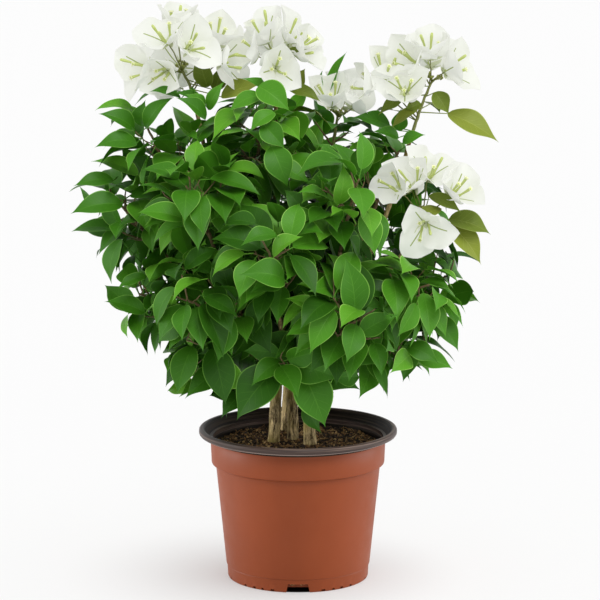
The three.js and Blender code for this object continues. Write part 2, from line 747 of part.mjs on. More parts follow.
// The soil fills the pot, a little lower towards the rim.
function soil() {
  const collar = COLLAR_RADIUS - WALL - GAP - SKIN - 2 * GAP;
  const wall = BODY_TOP_RADIUS - WALL - GAP;
  return turned([
    [0, FLOOR_TOP + GAP],
    [BASE_RADIUS - WALL - 3, FLOOR_TOP + GAP],
    [wall - 0.6, COLLAR_BOTTOM - 2],
    [collar, COLLAR_BOTTOM + 4],
    [collar, SOIL_TOP - 2],
    [collar - 6, SOIL_TOP],
    [0, SOIL_TOP],
  ]);
}

const plant = new THREE.Group();

function add(name, geometry, colour) {
  const mesh = new THREE.Mesh(
    geometry,
    new THREE.MeshStandardMaterial({ ...COLOURS[colour], metalness: 0 }),
  );
  mesh.name = name;
  plant.add(mesh);
}

add("pot", potBody(), "terracotta");
add("pot_rim", potRim(), "rim");
add("soil", soil(), "soil");

for (const [name, stem] of Object.entries(STEMS)) {
  add(`stem_${name}`, geometryOf(stemSolid(stem, 0)), "bark");
}

for (const mass of masses) add(`bough_${mass.name}`, geometryOf(mass.solid), "bark");

for (const mass of masses) {
  const solids = mass.clusters ? growSpray(mass) : growLeafMass(mass);
  add(mass.name, geometryOf(join(solids)), mass.clusters ? "bract" : "leaf");
}

export default plant;
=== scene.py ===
"""A white bougainvillea bush in its nursery pot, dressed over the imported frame.

What grows is worked out in millimetres, +Z up and the viewer at -Y, and its meshes are in metres.
"""
import itertools
import json
import math
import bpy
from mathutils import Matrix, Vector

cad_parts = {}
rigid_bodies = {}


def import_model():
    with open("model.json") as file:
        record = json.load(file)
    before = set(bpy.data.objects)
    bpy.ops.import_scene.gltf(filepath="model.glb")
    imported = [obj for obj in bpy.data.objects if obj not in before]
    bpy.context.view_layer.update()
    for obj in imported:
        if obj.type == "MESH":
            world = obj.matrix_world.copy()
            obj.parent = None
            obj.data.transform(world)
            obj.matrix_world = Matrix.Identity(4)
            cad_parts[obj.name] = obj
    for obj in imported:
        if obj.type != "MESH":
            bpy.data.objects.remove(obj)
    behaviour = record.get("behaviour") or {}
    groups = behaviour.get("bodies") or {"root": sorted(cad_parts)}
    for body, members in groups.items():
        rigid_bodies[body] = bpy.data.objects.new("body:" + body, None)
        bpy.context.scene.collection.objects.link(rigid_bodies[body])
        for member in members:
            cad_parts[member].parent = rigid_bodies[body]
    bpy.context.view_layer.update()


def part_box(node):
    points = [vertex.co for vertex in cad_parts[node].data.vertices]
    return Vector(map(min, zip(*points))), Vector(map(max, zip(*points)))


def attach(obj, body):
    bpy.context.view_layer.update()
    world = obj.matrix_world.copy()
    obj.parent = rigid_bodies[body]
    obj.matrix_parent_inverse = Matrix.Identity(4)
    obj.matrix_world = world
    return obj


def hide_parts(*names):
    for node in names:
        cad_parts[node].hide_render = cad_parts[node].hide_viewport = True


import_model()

from types import SimpleNamespace

import bpy
import numpy as np
from mathutils import Vector
from mathutils.bvhtree import BVHTree

MM = 0.001

# The pot, as its solids have it.
GAP = 0.3
POT_HEIGHT = 131
RIM_RADIUS = 85.2
COLLAR_RADIUS = 75.2
COLLAR_TOP = 123
COLLAR_BOTTOM = 100.7
BODY_TOP_RADIUS = 70.8
BASE_RADIUS = 60.6
WALL = 1.7
FLOOR_BOTTOM = 4
FLOOR_TOP = 6
BOSS_RADIUS = 12
FOOT_WIDTH = 2.6
DRAINS = 3
DRAIN_WIDTH = 17
DRAIN_HEIGHT = 7.5
DRAIN_DEPTH = 9
SKIN = 1.7
SOIL_TOP = 118
POT_SIDES = 192

# The small moulded slits at the foot, by how far each lies from its drain notch, and their size.
SLIT_ANGLES = [21, 30, 38, 48]
SLIT_WIDTHS = [3.6, 2.2, 3, 2.4]
SLIT_FOOT = 0.4
SLIT_TOP = 2.3
SLIT_DEPTH = 5

# The crown. A bearing is 0 towards the viewer and 90 to the viewer's right.
CROWN_X = -5
HEART = np.array([CROWN_X, 0, 262.0])
LOWEST_LEAF = 133

# How low the leaves hang over each stretch from side to side, highest in front of the stems, and
# how much that falls from the front of the crown to its back, as the photograph looks down.
PARTINGS = [
    (-200, -150, 225), (-150, -135, 205), (-135, -112, 185), (-112, -66, 156), (-33, -9, 168),
    (-9, 3, 150), (26, 80, 154), (80, 150, 170),
]
PARTING_RISE = 0.185

# The stems: foot and tip in plan, the height of the tip and the radius at the foot.
STEMS = {
    "left": ((-21, 0), (-17, -3), 212, 5.4),
    "middle": ((-4, 7.5), (-8, 11), 216, 5),
    "right": ((10, -9.4), (8, -12), 214, 5.4),
    "back": ((-11, 44), (-7, 38), 208, 4.4),
}
STEM_TAPER = 0.74
STEM_BOW = np.array([0.8, 0.6, 0])
FLARE_HEIGHT = 9
FLARE = 1.1

# Each mass of leaves: its stem, the bearing, distance and height of its middle, its reach and seed.
LEAF_MASSES = {
    "left_high": ("left", 272, 113, 380, 60, 25),
    "left": ("left", 267, 136, 318, 58, 1),
    "left_low": ("left", 279, 112, 250, 56, 27),
    "low_left": ("left", 305, 78, 200, 56, 48),
    "low_front": ("right", 8, 66, 190, 56, 15),
    "low_right": ("right", 68, 92, 208, 60, 59),
    "right": ("right", 90, 110, 258, 58, 4),
    "right_high": ("middle", 97, 86, 362, 60, 45),
    "top": ("middle", 285, 30, 388, 62, 27),
    "front_high_left": ("left", 314, 104, 336, 58, 5),
    "front_high_right": ("right", 28, 100, 344, 58, 44),
    "front": ("middle", 352, 112, 296, 56, 6),
    "front_left": ("left", 320, 110, 256, 56, 9),
    "front_right": ("right", 24, 110, 246, 58, 37),
    "right_front": ("right", 58, 112, 262, 56, 20),
    "back_left": ("back", 222, 116, 300, 64, 9),
    "back_right": ("back", 138, 116, 300, 64, 27),
    "back_high": ("middle", 181, 84, 352, 64, 20),
    "back_low_left": ("back", 214, 92, 216, 60, 51),
    "back_low_right": ("back", 142, 92, 216, 60, 51),
}

# Each flowering spray: its stem, the middle and reach of its space, the end of its own stem, its
# seed, how high its green leaves reach, its clusters (how far along that stem their stalk leaves
# it, where they stand and the way that they open) and its leaves (how far along, where their blade
# starts and ends, the way that it faces, its width as a share of its length, and its green).
SPRAYS = {
    "bracts_left": (
        "left", (-96, 4, 462), 72, (-98, -2, 440), 31, 428,
        [
            (0.98, (-108, -14, 462), (-0.35, -0.55, 0.75)),
            (0.9, (-124, -10, 441), (-0.8, -0.5, 0.15)),
            (0.94, (-102, 6, 469), (0.1, -0.1, 1)),
            (0.9, (-110, -8, 440), (-0.3, -0.9, -0.1)),
            (0.96, (-92, -12, 458), (0.3, -0.8, 0.4)),
            (0.84, (-100, 14, 440), (-0.3, 0.6, -0.1)),
            (0.35, (-70, 6, 458), (0.15, -0.35, 1)),
            (0.45, (-66, -2, 446), (0.55, -0.6, 0.1)),
            (0.45, (-72, 30, 446), (0.15, 0.7, 0.5)),
        ],
        [
            (0.7, (-76, -2, 425), (-84, -8, 455), (-0.2, -0.95, 0.2), 0.5, "olive"),
            (0.45, (-65, -6, 417), (-31, -12, 428), (-0.35, -0.65, 0.7), 0.5, "gold"),
            (0.6, (-70, 6, 421), (-65, 2, 443), (0.3, -0.9, 0.3), 0.6, "olive"),
            (0.8, (-80, 4, 444), (-66, 8, 449), (0.1, -0.6, 0.8), 0.5, "olive"),
            (0.3, (-98, 22, 420), (-124, 36, 416), (-0.1, 0.5, 0.85), 0.52, "olive"),
        ],
    ),
    "bracts_top": (
        "middle", (-18, -4, 458), 58, (-18, 0, 440), 33, 428,
        [
            (0.98, (-25, -2, 463), (-0.3, -0.4, 0.9)),
            (0.94, (-34, -4, 452), (-0.8, -0.5, 0.35)),
            (0.94, (-4, -4, 454), (0.8, -0.5, 0.45)),
            (0.9, (-19, -14, 442), (0.1, -0.9, 0.15)),
            (0.94, (-9, 2, 460), (0.65, -0.35, 0.7)),
            (0.94, (-20, 22, 452), (-0.1, 0.8, 0.4)),
        ],
        [
            (0.7, (-8, -8, 424), (19, -14, 414), (0.1, -0.6, 0.8), 0.48, "olive"),
            (0.8, (-6, 0, 425), (6, -4, 441), (0.2, -0.95, 0.2), 0.7, "gold"),
            (0.95, (-14, -12, 453), (8, -16, 458), (0, -0.5, 0.85), 0.34, "olive"),
            (0.6, (-16, 14, 430), (-10, 44, 424), (0, 0.4, 0.9), 0.55, "olive"),
        ],
    ),
    "bracts_back": (
        "back", (34, 18, 414), 56, (34, 20, 398), 34, 404,
        [
            (0.98, (28, 8, 407), (-0.1, -0.5, 0.8)),
            (0.94, (46, 14, 404), (0.5, -0.5, 0.6)),
            (0.9, (40, 32, 408), (0.2, 0.6, 0.75)),
        ],
        [
            (0.98, (27, 12, 420), (41, 8, 453), (-0.75, -0.6, 0.1), 0.3, "fresh"),
            (0.96, (19, 12, 419), (21, 10, 438), (-0.5, -0.8, 0.2), 0.34, "fresh"),
            (0.55, (20, 28, 396), (-6, 44, 398), (0, 0.4, 0.9), 0.52, "olive"),
            (0.8, (40, 34, 400), (50, 64, 396), (0.1, 0.3, 0.9), 0.52, "olive"),
        ],
    ),
    "bracts_right": (
        "right", (108, 0, 430), 76, (113, 2, 430), 36, 398,
        [
            (0.98, (111, -6, 449), (0, -0.45, 0.9)),
            (0.94, (123, -6, 438), (0.75, -0.5, 0.4)),
            (0.92, (100, -4, 443), (-0.7, -0.45, 0.5)),
            (0.9, (113, 17, 440), (0.15, 0.8, 0.55)),
            (0.3, (62, -4, 426), (-0.65, -0.6, 0.35)),
            (0.35, (74, 2, 430), (0.1, -0.5, 0.8)),
            (0.4, (90, -12, 421), (-0.05, -0.85, 0.45)),
        ],
        [
            (0.45, (126, -4, 403), (168, -12, 380), (0.35, -0.75, 0.6), 0.46, "gold"),
            (0.72, (115, -4, 421), (127, -10, 403), (0.25, -0.95, 0.15), 0.66, "olive"),
            (0.75, (89, -8, 418), (68, -14, 403), (-0.3, -0.7, 0.6), 0.42, "olive"),
            (0.5, (101, -6, 407), (79, -12, 391), (-0.2, -0.6, 0.75), 0.4, "gold"),
            (0.6, (104, -2, 411), (90, -8, 406), (-0.1, -0.8, 0.5), 0.6, "olive"),
            (0.9, (106, -6, 426), (99, -12, 438), (-0.4, -0.85, 0.2), 0.55, "olive"),
            (0.5, (112, 18, 408), (122, 52, 396), (0.1, 0.4, 0.9), 0.52, "olive"),
            (0.3, (90, 16, 400), (66, 44, 398), (-0.1, 0.4, 0.9), 0.52, "olive"),
            (0.1, (85, -4, 388), (87, -6, 407), (0, -0.9, 0.3), 0.7, "fresh"),
            (0.05, (88, -14, 379), (107, -22, 387), (-0.2, -0.7, 0.7), 0.56, "fresh"),
            (0.08, (85, -10, 383), (63, -16, 389), (-0.1, -0.7, 0.7), 0.5, "green"),
            (0.12, (78, -2, 392), (47, -8, 400), (0, -0.7, 0.7), 0.5, "green"),
        ],
    ),
    "bracts_low_right": (
        "right", (112, -42, 332), 68, (106, -38, 322), 37, 312,
        [
            (0.94, (97, -48, 345), (-0.3, -0.6, 0.7)),
            (0.92, (84, -62, 346), (-0.5, -0.7, 0.5)),
            (0.94, (108, -38, 351), (0.2, -0.45, 0.85)),
            (0.9, (128, -42, 337), (0.5, -0.6, 0.6)),
            (0.98, (106, -56, 318), (-0.05, -0.9, -0.25)),
        ],
        [
            (0.9, (96, -46, 343), (75, -50, 337), (-0.1, -0.6, 0.8), 0.42, "olive"),
            (0.9, (109, -50, 340), (136, -54, 326), (0.2, -0.7, 0.65), 0.42, "olive"),
            (0.95, (120, -52, 329), (91, -60, 319), (-0.1, -0.65, 0.75), 0.4, "gold"),
            (0.75, (126, -44, 319), (161, -44, 306), (0.2, -0.7, 0.7), 0.55, "olive"),
            (0.6, (126, -42, 315), (153, -46, 281), (0.45, -0.8, 0.35), 0.5, "gold"),
        ],
    ),
}

# Leaves that stand out at the crown's outline or fill its top, by their mass or spray: where the
# blade starts and ends, the way that it faces, its width as a share of its length, and its green.
OUTLINE_LEAVES = {
    "left_high": [
        ((-138, -14, 391), (-168, -22, 405), (-0.1, -0.7, 0.7), 0.5, "green"),
        ((-132, -10, 393), (-128, -18, 416), (-0.3, -0.9, 0.3), 0.62, "green"),
        ((-128, -18, 392), (-103, -26, 420), (-0.4, -0.7, 0.5), 0.42, "green"),
        ((-135, -22, 380), (-172, -30, 377), (0, -0.7, 0.7), 0.46, "green"),
    ],
    "left": [
        ((-156, -6, 346), (-190, -14, 342), (0, -0.7, 0.7), 0.42, "green"),
        ((-148, -16, 327), (-192, -24, 320), (0, -0.72, 0.68), 0.48, "green"),
        ((-131, -30, 318), (-151, -38, 312), (0, -0.7, 0.7), 0.45, "deep"),
    ],
    "left_low": [
        ((-149, -24, 299), (-157, -32, 261), (-0.75, -0.6, 0.1), 0.55, "green"),
        ((-127, -40, 270), (-152, -48, 260), (0, -0.6, 0.75), 0.4, "green"),
    ],
    "low_left": [
        ((-88, -66, 215), (-101, -74, 175), (-0.2, -0.9, 0.3), 0.5, "green"),
        ((-71, -74, 215), (-60, -82, 167), (0.1, -0.95, 0.2), 0.52, "deep"),
    ],
    "low_front": [
        ((-16, -78, 199), (-51, -86, 156), (-0.3, -0.85, 0.4), 0.62, "deep"),
        ((4, -84, 197), (23, -92, 151), (0.1, -0.95, 0.25), 0.62, "green"),
    ],
    "low_right": [
        ((109, -40, 234), (136, -48, 205), (0.4, -0.75, 0.5), 0.5, "green"),
        ((108, -30, 238), (135, -38, 246), (0.1, -0.6, 0.8), 0.36, "deep"),
        ((97, -50, 217), (88, -58, 182), (0, -0.95, 0.2), 0.45, "green"),
        ((63, -56, 202), (75, -64, 171), (0.2, -0.95, 0.2), 0.28, "green"),
    ],
    "right_high": [
        ((102, 2, 366), (116, -6, 342), (0.9, 0, 0.45), 0.6, "green"),
        ((96, 12, 376), (108, 20, 356), (0.8, 0.3, 0.5), 0.6, "green"),
    ],
    "right": [
        ((110, 9, 343), (126, 2, 316), (0.9, 0.1, 0.4), 0.62, "green"),
        ((112, -7, 322), (128, -14, 294), (0.9, -0.2, 0.4), 0.6, "fresh"),
        ((116, 12, 300), (132, 7, 270), (0.9, 0.1, 0.4), 0.62, "green"),
        ((112, -8, 279), (128, -4, 250), (0.95, -0.1, 0.3), 0.6, "green"),
        ((104, 10, 254), (118, 14, 226), (0.95, 0.1, 0.25), 0.58, "deep"),
        ((94, -4, 232), (106, -2, 205), (0.95, -0.1, 0.25), 0.58, "deep"),
        ((84, 8, 213), (94, 11, 187), (0.95, 0.1, 0.2), 0.58, "deep"),
    ],
    "top": [
        ((-19, -62, 411), (-40, -70, 396), (0, -0.7, 0.7), 0.5, "fresh"),
        ((-29, -66, 402), (-11, -74, 383), (0, -0.95, 0.3), 0.68, "green"),
        ((-33, -46, 431), (-7, -58, 412), (0.1, -0.85, 0.5), 0.66, "fresh"),
        ((-22, -70, 384), (-8, -78, 350), (0.1, -0.95, 0.2), 0.6, "green"),
    ],
    "bracts_left": [
        ((-78, -24, 408), (-95, -32, 423), (-0.2, -0.6, 0.75), 0.55, "fresh"),
        ((-75, -28, 409), (-61, -36, 434), (-0.3, -0.85, 0.4), 0.38, "fresh"),
        ((-77, -34, 402), (-102, -42, 421), (-0.2, -0.6, 0.75), 0.45, "green"),
        ((-98, -20, 417), (-125, -28, 424), (-0.1, -0.5, 0.85), 0.42, "green"),
        ((-81, -16, 412), (-104, -24, 423), (-0.1, -0.6, 0.75), 0.45, "green"),
    ],
    "bracts_top": [
        ((-21, -24, 419), (-47, -32, 436), (-0.2, -0.6, 0.8), 0.4, "fresh"),
        ((-30, -36, 422), (-58, -44, 409), (0.1, -0.6, 0.8), 0.5, "fresh"),
    ],
}
OUTLINE_CURL = (0.9, 1.5)

# The golden angle, by which what grows turns round what carries it.
TURN = math.radians(137.5)

# The share of a curve to either side of a place that gives its heading there, and the least share
# of a twig that is drawn, with its points.
HEADING_STEP = 0.02
SHORTEST_CUT = 0.1
CUT_POINTS = 9

# Boughs, by the rule of the solids.
BOUGH_RADIUS = 2.6
BOUGH_TIP_RADIUS = 1.7
HIGHEST_BOUGH = 0.96
BOUGH_SHARE_OF_STEM = 0.46
BOUGH_BEND = 0.55
SHORTEST_BEND = 18
LEAST_RISE = 8
BOUGH_INTO_MASS = 4
BOUGH_POINTS = 13
SHORTEST_BOUGH = 0.05
BOUGH_TRIM = 0.01
SWAYS = [0, 0.3, -0.3, 0.6, -0.6, 0.9, -0.9, 1.2, -1.2, 1.6, -1.6]
LIFTS = [0.3, 0.15, 0.02]

# The stem of a mass, its side twigs and their finer twigs. Reaches are shares of the mass's own.
AXIS_REACH = 0.6
AXIS_RISE = 0.3
AXIS_SWERVE = 0.5
AXIS_TRIM = 2
TWIG_RADIUS = 1
TWIG_TIP_RADIUS = 0.55
FINE_TWIG_RADIUS = 0.6
FINE_TWIG_TIP_RADIUS = 0.4
TWIGS = 7
LOWEST_TWIG = 0.1
TWIG_SPACING = 0.125
TWIG_REACH = 0.66
TWIG_SIZES = [1, 0.8, 0.6, 0.42]
LEAST_TWIG = 0.85
TWIG_SPREAD = 0.3
TWIG_RISE = 0.12
FINE_TWIGS = [0.28, 0.5, 0.74]
FINE_TWIG_SHARE = 0.62
ROOM_FOR_TUFT = 6

# Leaves. Widths and folds are shares of the length.
LEAF_STEP = 9.5
FIRST_LEAF = 6
LEAF_LEAN = 1.15
TUFT = 5
YOUNG_IN_TUFT = 2
TUFT_STEP = 0.45
TUFT_TOP = 0.98
TUFT_LEAN = 0.7
TUFT_SPREAD = 0.15
TUFT_AGE = 0.2
STALK = 6.5
STALK_RADIUS = 0.55
BLADE = 54
YOUNG_BLADE = 43
BLADE_WIDTH = 0.52
FOLD = 0.13
FACES_UP = 0.7
FACES_OUT = 0.6
FACES_ANY_WAY = 0.42
CROWDED = 8
CLEARANCE = 0.6
SPILL = 16
TRIES = [0, 0.6, -0.6, 1.2, -1.2, 1.9, -1.9, 2.6, -2.6, 3.1]
SHRINK = [1, 0.88, 0.76]

# A leaf is first tried by rough guesses at its middle and its tip, which the space allows sooner.
ROUGHLY = 0.6
ROUGH_MIDDLE = 0.45
ROUGH_TIP = 0.8
ROUGH_SAG = 0.3

# The leafy side twigs low on the stem of a spray.
FOOT_TWIGS = [0.05, 0.15, 0.25, 0.35, 0.45, 0.55, 0.65]
FOOT_TWIG_REACH = 48

# The leafy twigs on the boughs inside the crown, and the space that they keep to.
INNER_TWIGS = [0.4, 0.52, 0.64, 0.76, 0.88]
INNER_TWIG_REACH = 34
INNER_TUFT = 6
INNER_TUFT_STEP = 0.9
INNER_AGE = 0.2
INNER_AGE_STEP = 0.15
INNER_MIDDLE = np.array([-8, 0, 285.0])
INNER_REACH = np.array([128, 112, 118.0])
INNER_LOWEST = 172

# The dense middle of the crown. Past it the leaves stand further apart and reach out more.
CORE_MIDDLE = np.array([-15, -5, 280.0])
CORE_REACH = np.array([136, 124, 124.0])
EDGE = 0.2
EDGE_SPACING = 1.5
EDGE_OUTWARD = 0.9

# Twigs that fill what the others leave bare: how many ways are tried round a mass and round the
# crown, how far out they look, how far back round a mass, how far the next leaf is from a bare
# place, how far a twig goes to fill it, the share of that way that it grows, how it bows up, and
# how many leaves it has there.
FILL_WAYS = 60
CROWN_WAYS = 420
FILL_OUT = 0.74
CROWN_OUT = 0.9
FILL_BACK = -0.2
FILL_BARE = 17
FILL_REACH = 52
CROWN_REACH = 80
FILL_SHARE = 0.7
FILL_BOW = 0.12
FILL_TUFT = 4
FILL_SOCKETS = [0.15, 0.3, 0.45, 0.6, 0.75, 0.9]

# How much longer an arched leaf is than the straight line from its foot to its tip.
ARCHED = 1.06

# Bracts, three to a cluster, that cup round the way the cluster opens.
BRACT = 35
BRACT_SIZES = [1, 0.92, 0.84, 0.76]
BRACT_WIDTH = 0.9
BRACT_CURL = 0.5
BRACT_FOLD = 0.26
BRACT_STEP = 1
BRACT_SPILL = 9
STALK_BOW = 0.12
STALK_RISE = 1.5
CLUSTER_STALK_RADII = (0.65, 0.5)
SPRAY_TIP_RADIUS = 1.1

# A painted glow on the white paper of the bracts, standing in for the light that thin paper lets through
# from behind.
BRACT_PAINTED_GLOW = 0.25

UP = np.array([0, 0, 1.0])
DOWN = -UP


# Draws, vectors and curves.

FIRST_STATE = 7919
MULTIPLIER = 16807
MODULUS = 2**31 - 1


def seeded(seed):
    """A multiplying generator: the same draws for the same seed on any machine."""
    state = seed * FIRST_STATE

    def draw():
        nonlocal state
        state = state * MULTIPLIER % MODULUS
        return state / MODULUS

    draw()
    draw()
    return draw


def vec(*xyz):
    return np.array(xyz, float)


def unit(v):
    return v / math.sqrt(v[0] * v[0] + v[1] * v[1] + v[2] * v[2])


def mix(*terms):
    """The direction of a weighted sum of vectors."""
    return unit(sum(weight * vector for vector, weight in terms))


def cross(a, b):
    return vec(a[1] * b[2] - a[2] * b[1], a[2] * b[0] - a[0] * b[2], a[0] * b[1] - a[1] * b[0])


def spoke(axis, angle):
    """A unit vector square to axis, at an angle round it from the side that faces up."""
    base = vec(0, -1, 0) if abs(axis[2]) > 0.95 else UP
    first = unit(cross(axis, base))
    return math.sin(angle) * first + math.cos(angle) * cross(first, axis)


class Curve:
    """A way through points, walked evenly by its length."""

    def __init__(self, points):
        self.points = np.asarray(points, float)
        steps = np.linalg.norm(np.diff(self.points, axis=0), axis=1)
        self.walked = np.concatenate([[0], np.cumsum(steps)])
        self.length = self.walked[-1]

    def at(self, share):
        walked = np.clip(share, 0, 1) * self.length
        return np.stack([np.interp(walked, self.walked, axis) for axis in self.points.T], -1)

    def heading(self, share):
        return unit(self.at(share + HEADING_STEP) - self.at(share - HEADING_STEP))

    def cut(self, share):
        return Curve(self.at(np.linspace(0, max(share, SHORTEST_CUT), CUT_POINTS)))

    def carried_by(self, parent, share):
        """A twig leaves its parent at a share of it, and is used as far as its last leaf or twig."""
        self.parent, self.share, self.used = parent, share, 0
        return self


def quadratic(a, b, c, steps=20):
    t = np.linspace(0, 1, steps + 1)[:, None]
    return Curve((1 - t) ** 2 * a + 2 * t * (1 - t) * b + t**2 * c)


def noise(points, seed=0):
    """Smooth noise from -1 to 1, with a lattice cell to each unit of points (n, 3)."""
    base = np.floor(points).astype(np.int64)
    part = points - base
    part = part * part * (3 - 2 * part)
    total = np.zeros(len(points))
    for corner in itertools.product((0, 1), repeat=3):
        cell = base + corner
        code = cell[:, 0] * 374761393 + cell[:, 1] * 668265263 + cell[:, 2] * 1442695041
        code = (code + seed * 1274126177) & 0xFFFFFFFF
        code = ((code ^ (code >> 13)) * 1274126177) & 0xFFFFFFFF
        code = code ^ (code >> 16)
        weight = np.prod(np.where(corner, part, 1 - part), axis=1)
        total += weight * (code / 0x7FFFFFFF - 1)
    return total


# Meshes.

def linked(name, data):
    """A new object in the scene."""
    made = bpy.data.objects.new(name, data)
    bpy.context.scene.collection.objects.link(made)
    return made


class Shape:
    """Gathers points in millimetres and faces, and makes one object of them."""

    def __init__(self):
        self.points, self.faces, self.tints = [], [], []
        self.count = 0

    def add(self, points, faces, tints=0):
        """faces is a list of index arrays, each (n, corners), and tints goes with their faces."""
        self.points.append(points)
        for block in faces:
            self.faces.extend((np.asarray(block) + self.count).tolist())
        added = sum(len(block) for block in faces)
        self.tints.append(np.full(added, tints) if np.isscalar(tints) else np.asarray(tints))
        self.count += len(points)

    def object(self, name, materials=(), smooth=False):
        mesh = bpy.data.meshes.new(name)
        mesh.from_pydata((np.concatenate(self.points) * MM).tolist(), [], self.faces)
        for material in materials:
            mesh.materials.append(material)
        mesh.polygons.foreach_set("material_index", np.concatenate(self.tints).astype(np.int32))
        mesh.polygons.foreach_set("use_smooth", np.full(len(mesh.polygons), smooth))
        mesh.update()
        return linked(name, mesh)

    def piece(self, name, materials, slot, node, smooth=True):
        made = self.object(name, materials, smooth)
        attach(made, "root")
        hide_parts(node)
        return made


def frames_along(points):
    """Two unit side vectors at each of some points in a row, turned no more than their way turns."""
    ways = np.gradient(points, axis=0)
    ways /= np.linalg.norm(ways, axis=1)[:, None]
    first = spoke(ways[0], 0)
    sides = []
    for way in ways:
        first = unit(first - way * np.dot(first, way))
        sides.append((first, cross(way, first)))
    return np.array(sides).transpose(1, 0, 2)


def angles_round(sides):
    return np.arange(sides) * 2 * math.pi / sides


def ring(radius, height, sides=POT_SIDES):
    """Points round the axis of the pot."""
    angle = angles_round(sides)
    return np.stack([radius * np.cos(angle), radius * np.sin(angle), np.full(sides, float(height))], -1)


def ring_faces(rings, sides):
    """The quads between rings of points, as an index array."""
    row = np.arange(sides)
    quad = np.stack([row, (row + 1) % sides, (row + 1) % sides + sides, row + sides], -1)
    return np.concatenate([quad + sides * i for i in range(rings - 1)])


def closed_faces(rings, sides):
    """The quads between rings of points, and a face that closes the first and the last ring."""
    row = np.arange(sides)[None]
    return [ring_faces(rings, sides), row[:, ::-1], row + sides * (rings - 1)]


def tube(points, radii, sides):
    """The points and faces of a closed round tube through points."""
    points = np.asarray(points, float)
    one, two = frames_along(points)
    angle = angles_round(sides)[:, None]
    radii = np.broadcast_to(radii, len(points))[:, None, None]
    outwards = one[:, None] * np.cos(angle) + two[:, None] * np.sin(angle)
    return (points[:, None] + outwards * radii).reshape(-1, 3), closed_faces(len(points), sides)


def lathe(profile, sides=POT_SIDES):
    """A closed turned shape from a profile of (radius, height), which may start and end on the axis."""
    points, rows = [], []
    for radius, height in profile:
        points.append(ring(radius, height, sides) if radius else vec(0, 0, height)[None])
        rows.append(np.arange(sides) * bool(radius) + sum(map(len, points[:-1])))
    if profile[0][0] != 0:
        rows.append(rows[0])
    faces = []
    for low, high in zip(rows, rows[1:]):
        low_next, high_next = np.roll(low, -1), np.roll(high, -1)
        if low[0] == low[1]:
            faces.append(np.stack([low, high_next, high], -1)[:, ::-1])
        elif high[0] == high[1]:
            faces.append(np.stack([low, low_next, high], -1))
        else:
            faces.append(np.stack([low, low_next, high_next, high], -1))
    return np.concatenate(points), faces


# Materials.

def linear(colour):
    """A colour as eight-bit display values, in linear light."""
    share = np.array(colour) / 255
    return np.where(share <= 0.04045, share / 12.92, ((share + 0.055) / 1.055) ** 2.4)


def plain(name, colour, roughness, **sockets):
    material = bpy.data.materials.new(name)
    material.use_nodes = True
    shader = material.node_tree.nodes["Principled BSDF"]
    shader.inputs["Base Color"].default_value = (*linear(colour), 1)
    shader.inputs["Roughness"].default_value = roughness
    for socket, value in sockets.items():
        shader.inputs[socket.replace("_", " ")].default_value = value
    return material


class Nodes:
    """Adds and links the nodes of one material, or of the sky."""

    def __init__(self, owner, shader="Principled BSDF"):
        self.tree = owner.node_tree
        self.shader = self.tree.nodes[shader]

    def add(self, kind, inputs=None, **settings):
        node = self.tree.nodes.new("ShaderNode" + kind)
        for key, value in settings.items():
            setattr(node, key, value)
        for key, value in (inputs or {}).items():
            if isinstance(value, bpy.types.NodeSocket):
                self.tree.links.new(value, node.inputs[key])
            else:
                node.inputs[key].default_value = value
        return node

    def place(self, scale=(1, 1, 1)):
        where = self.add("TexCoord").outputs["Object"]
        return self.add("Mapping", {"Vector": where, "Scale": scale}).outputs["Vector"]

    def noise(self, vector, scale, detail=3, roughness=0.55):
        inputs = {"Vector": vector, "Scale": scale, "Detail": detail, "Roughness": roughness}
        return self.add("TexNoise", inputs).outputs["Fac"]

    def ramp(self, value, *stops):
        """A colour ramp of (place, eight-bit colour) stops."""
        node = self.add("ValToRGB", {"Fac": value})
        elements = node.color_ramp.elements
        while len(elements) < len(stops):
            elements.new(0.5)
        for element, (place, colour) in zip(elements, stops):
            element.position = place
            element.color = (*linear(colour), 1)
        return node.outputs["Color"]

    def range(self, value, low, high, to_low, to_high):
        inputs = {"Value": value, "From Min": low, "From Max": high, "To Min": to_low, "To Max": to_high}
        return self.add("MapRange", inputs).outputs["Result"]

    def bump(self, height, strength, distance):
        inputs = {"Height": height, "Strength": strength, "Distance": distance}
        self.link(self.add("Bump", inputs).outputs["Normal"], "Normal")

    def link(self, output, socket):
        self.tree.links.new(output, self.shader.inputs[socket])


def blend_colours(nodes, share, one, two):
    made = nodes.add("Mix", {"Factor": share}, data_type="RGBA")
    for socket, colour in ((made.inputs[6], one), (made.inputs[7], two)):
        if isinstance(colour, bpy.types.NodeSocket):
            nodes.tree.links.new(colour, socket)
        else:
            socket.default_value = (*linear(colour), 1)
    return made.outputs[2]


def terracotta_plastic():
    material = plain("terracotta plastic", (128, 56, 19), 0.4, Specular_IOR_Level=0.3)
    nodes = Nodes(material)
    cloud = nodes.noise(nodes.place((1, 1, 0.5)), 22, 3)
    colour = nodes.ramp(cloud, (0.3, (124, 54, 17)), (0.7, (132, 59, 21)))
    scuff = nodes.noise(nodes.place((60, 60, 18)), 4, 2, 0.7)
    scuffed = nodes.range(scuff, 0.76, 0.82, 0, 0.45)
    nodes.link(blend_colours(nodes, scuffed, colour, (196, 132, 104)), "Base Color")
    grain = nodes.noise(nodes.place(), 900, 2)
    nodes.link(nodes.range(nodes.noise(nodes.place(), 60, 4), 0.3, 0.7, 0.44, 0.58), "Roughness")
    nodes.bump(grain, 0.12, 0.0002)
    return material


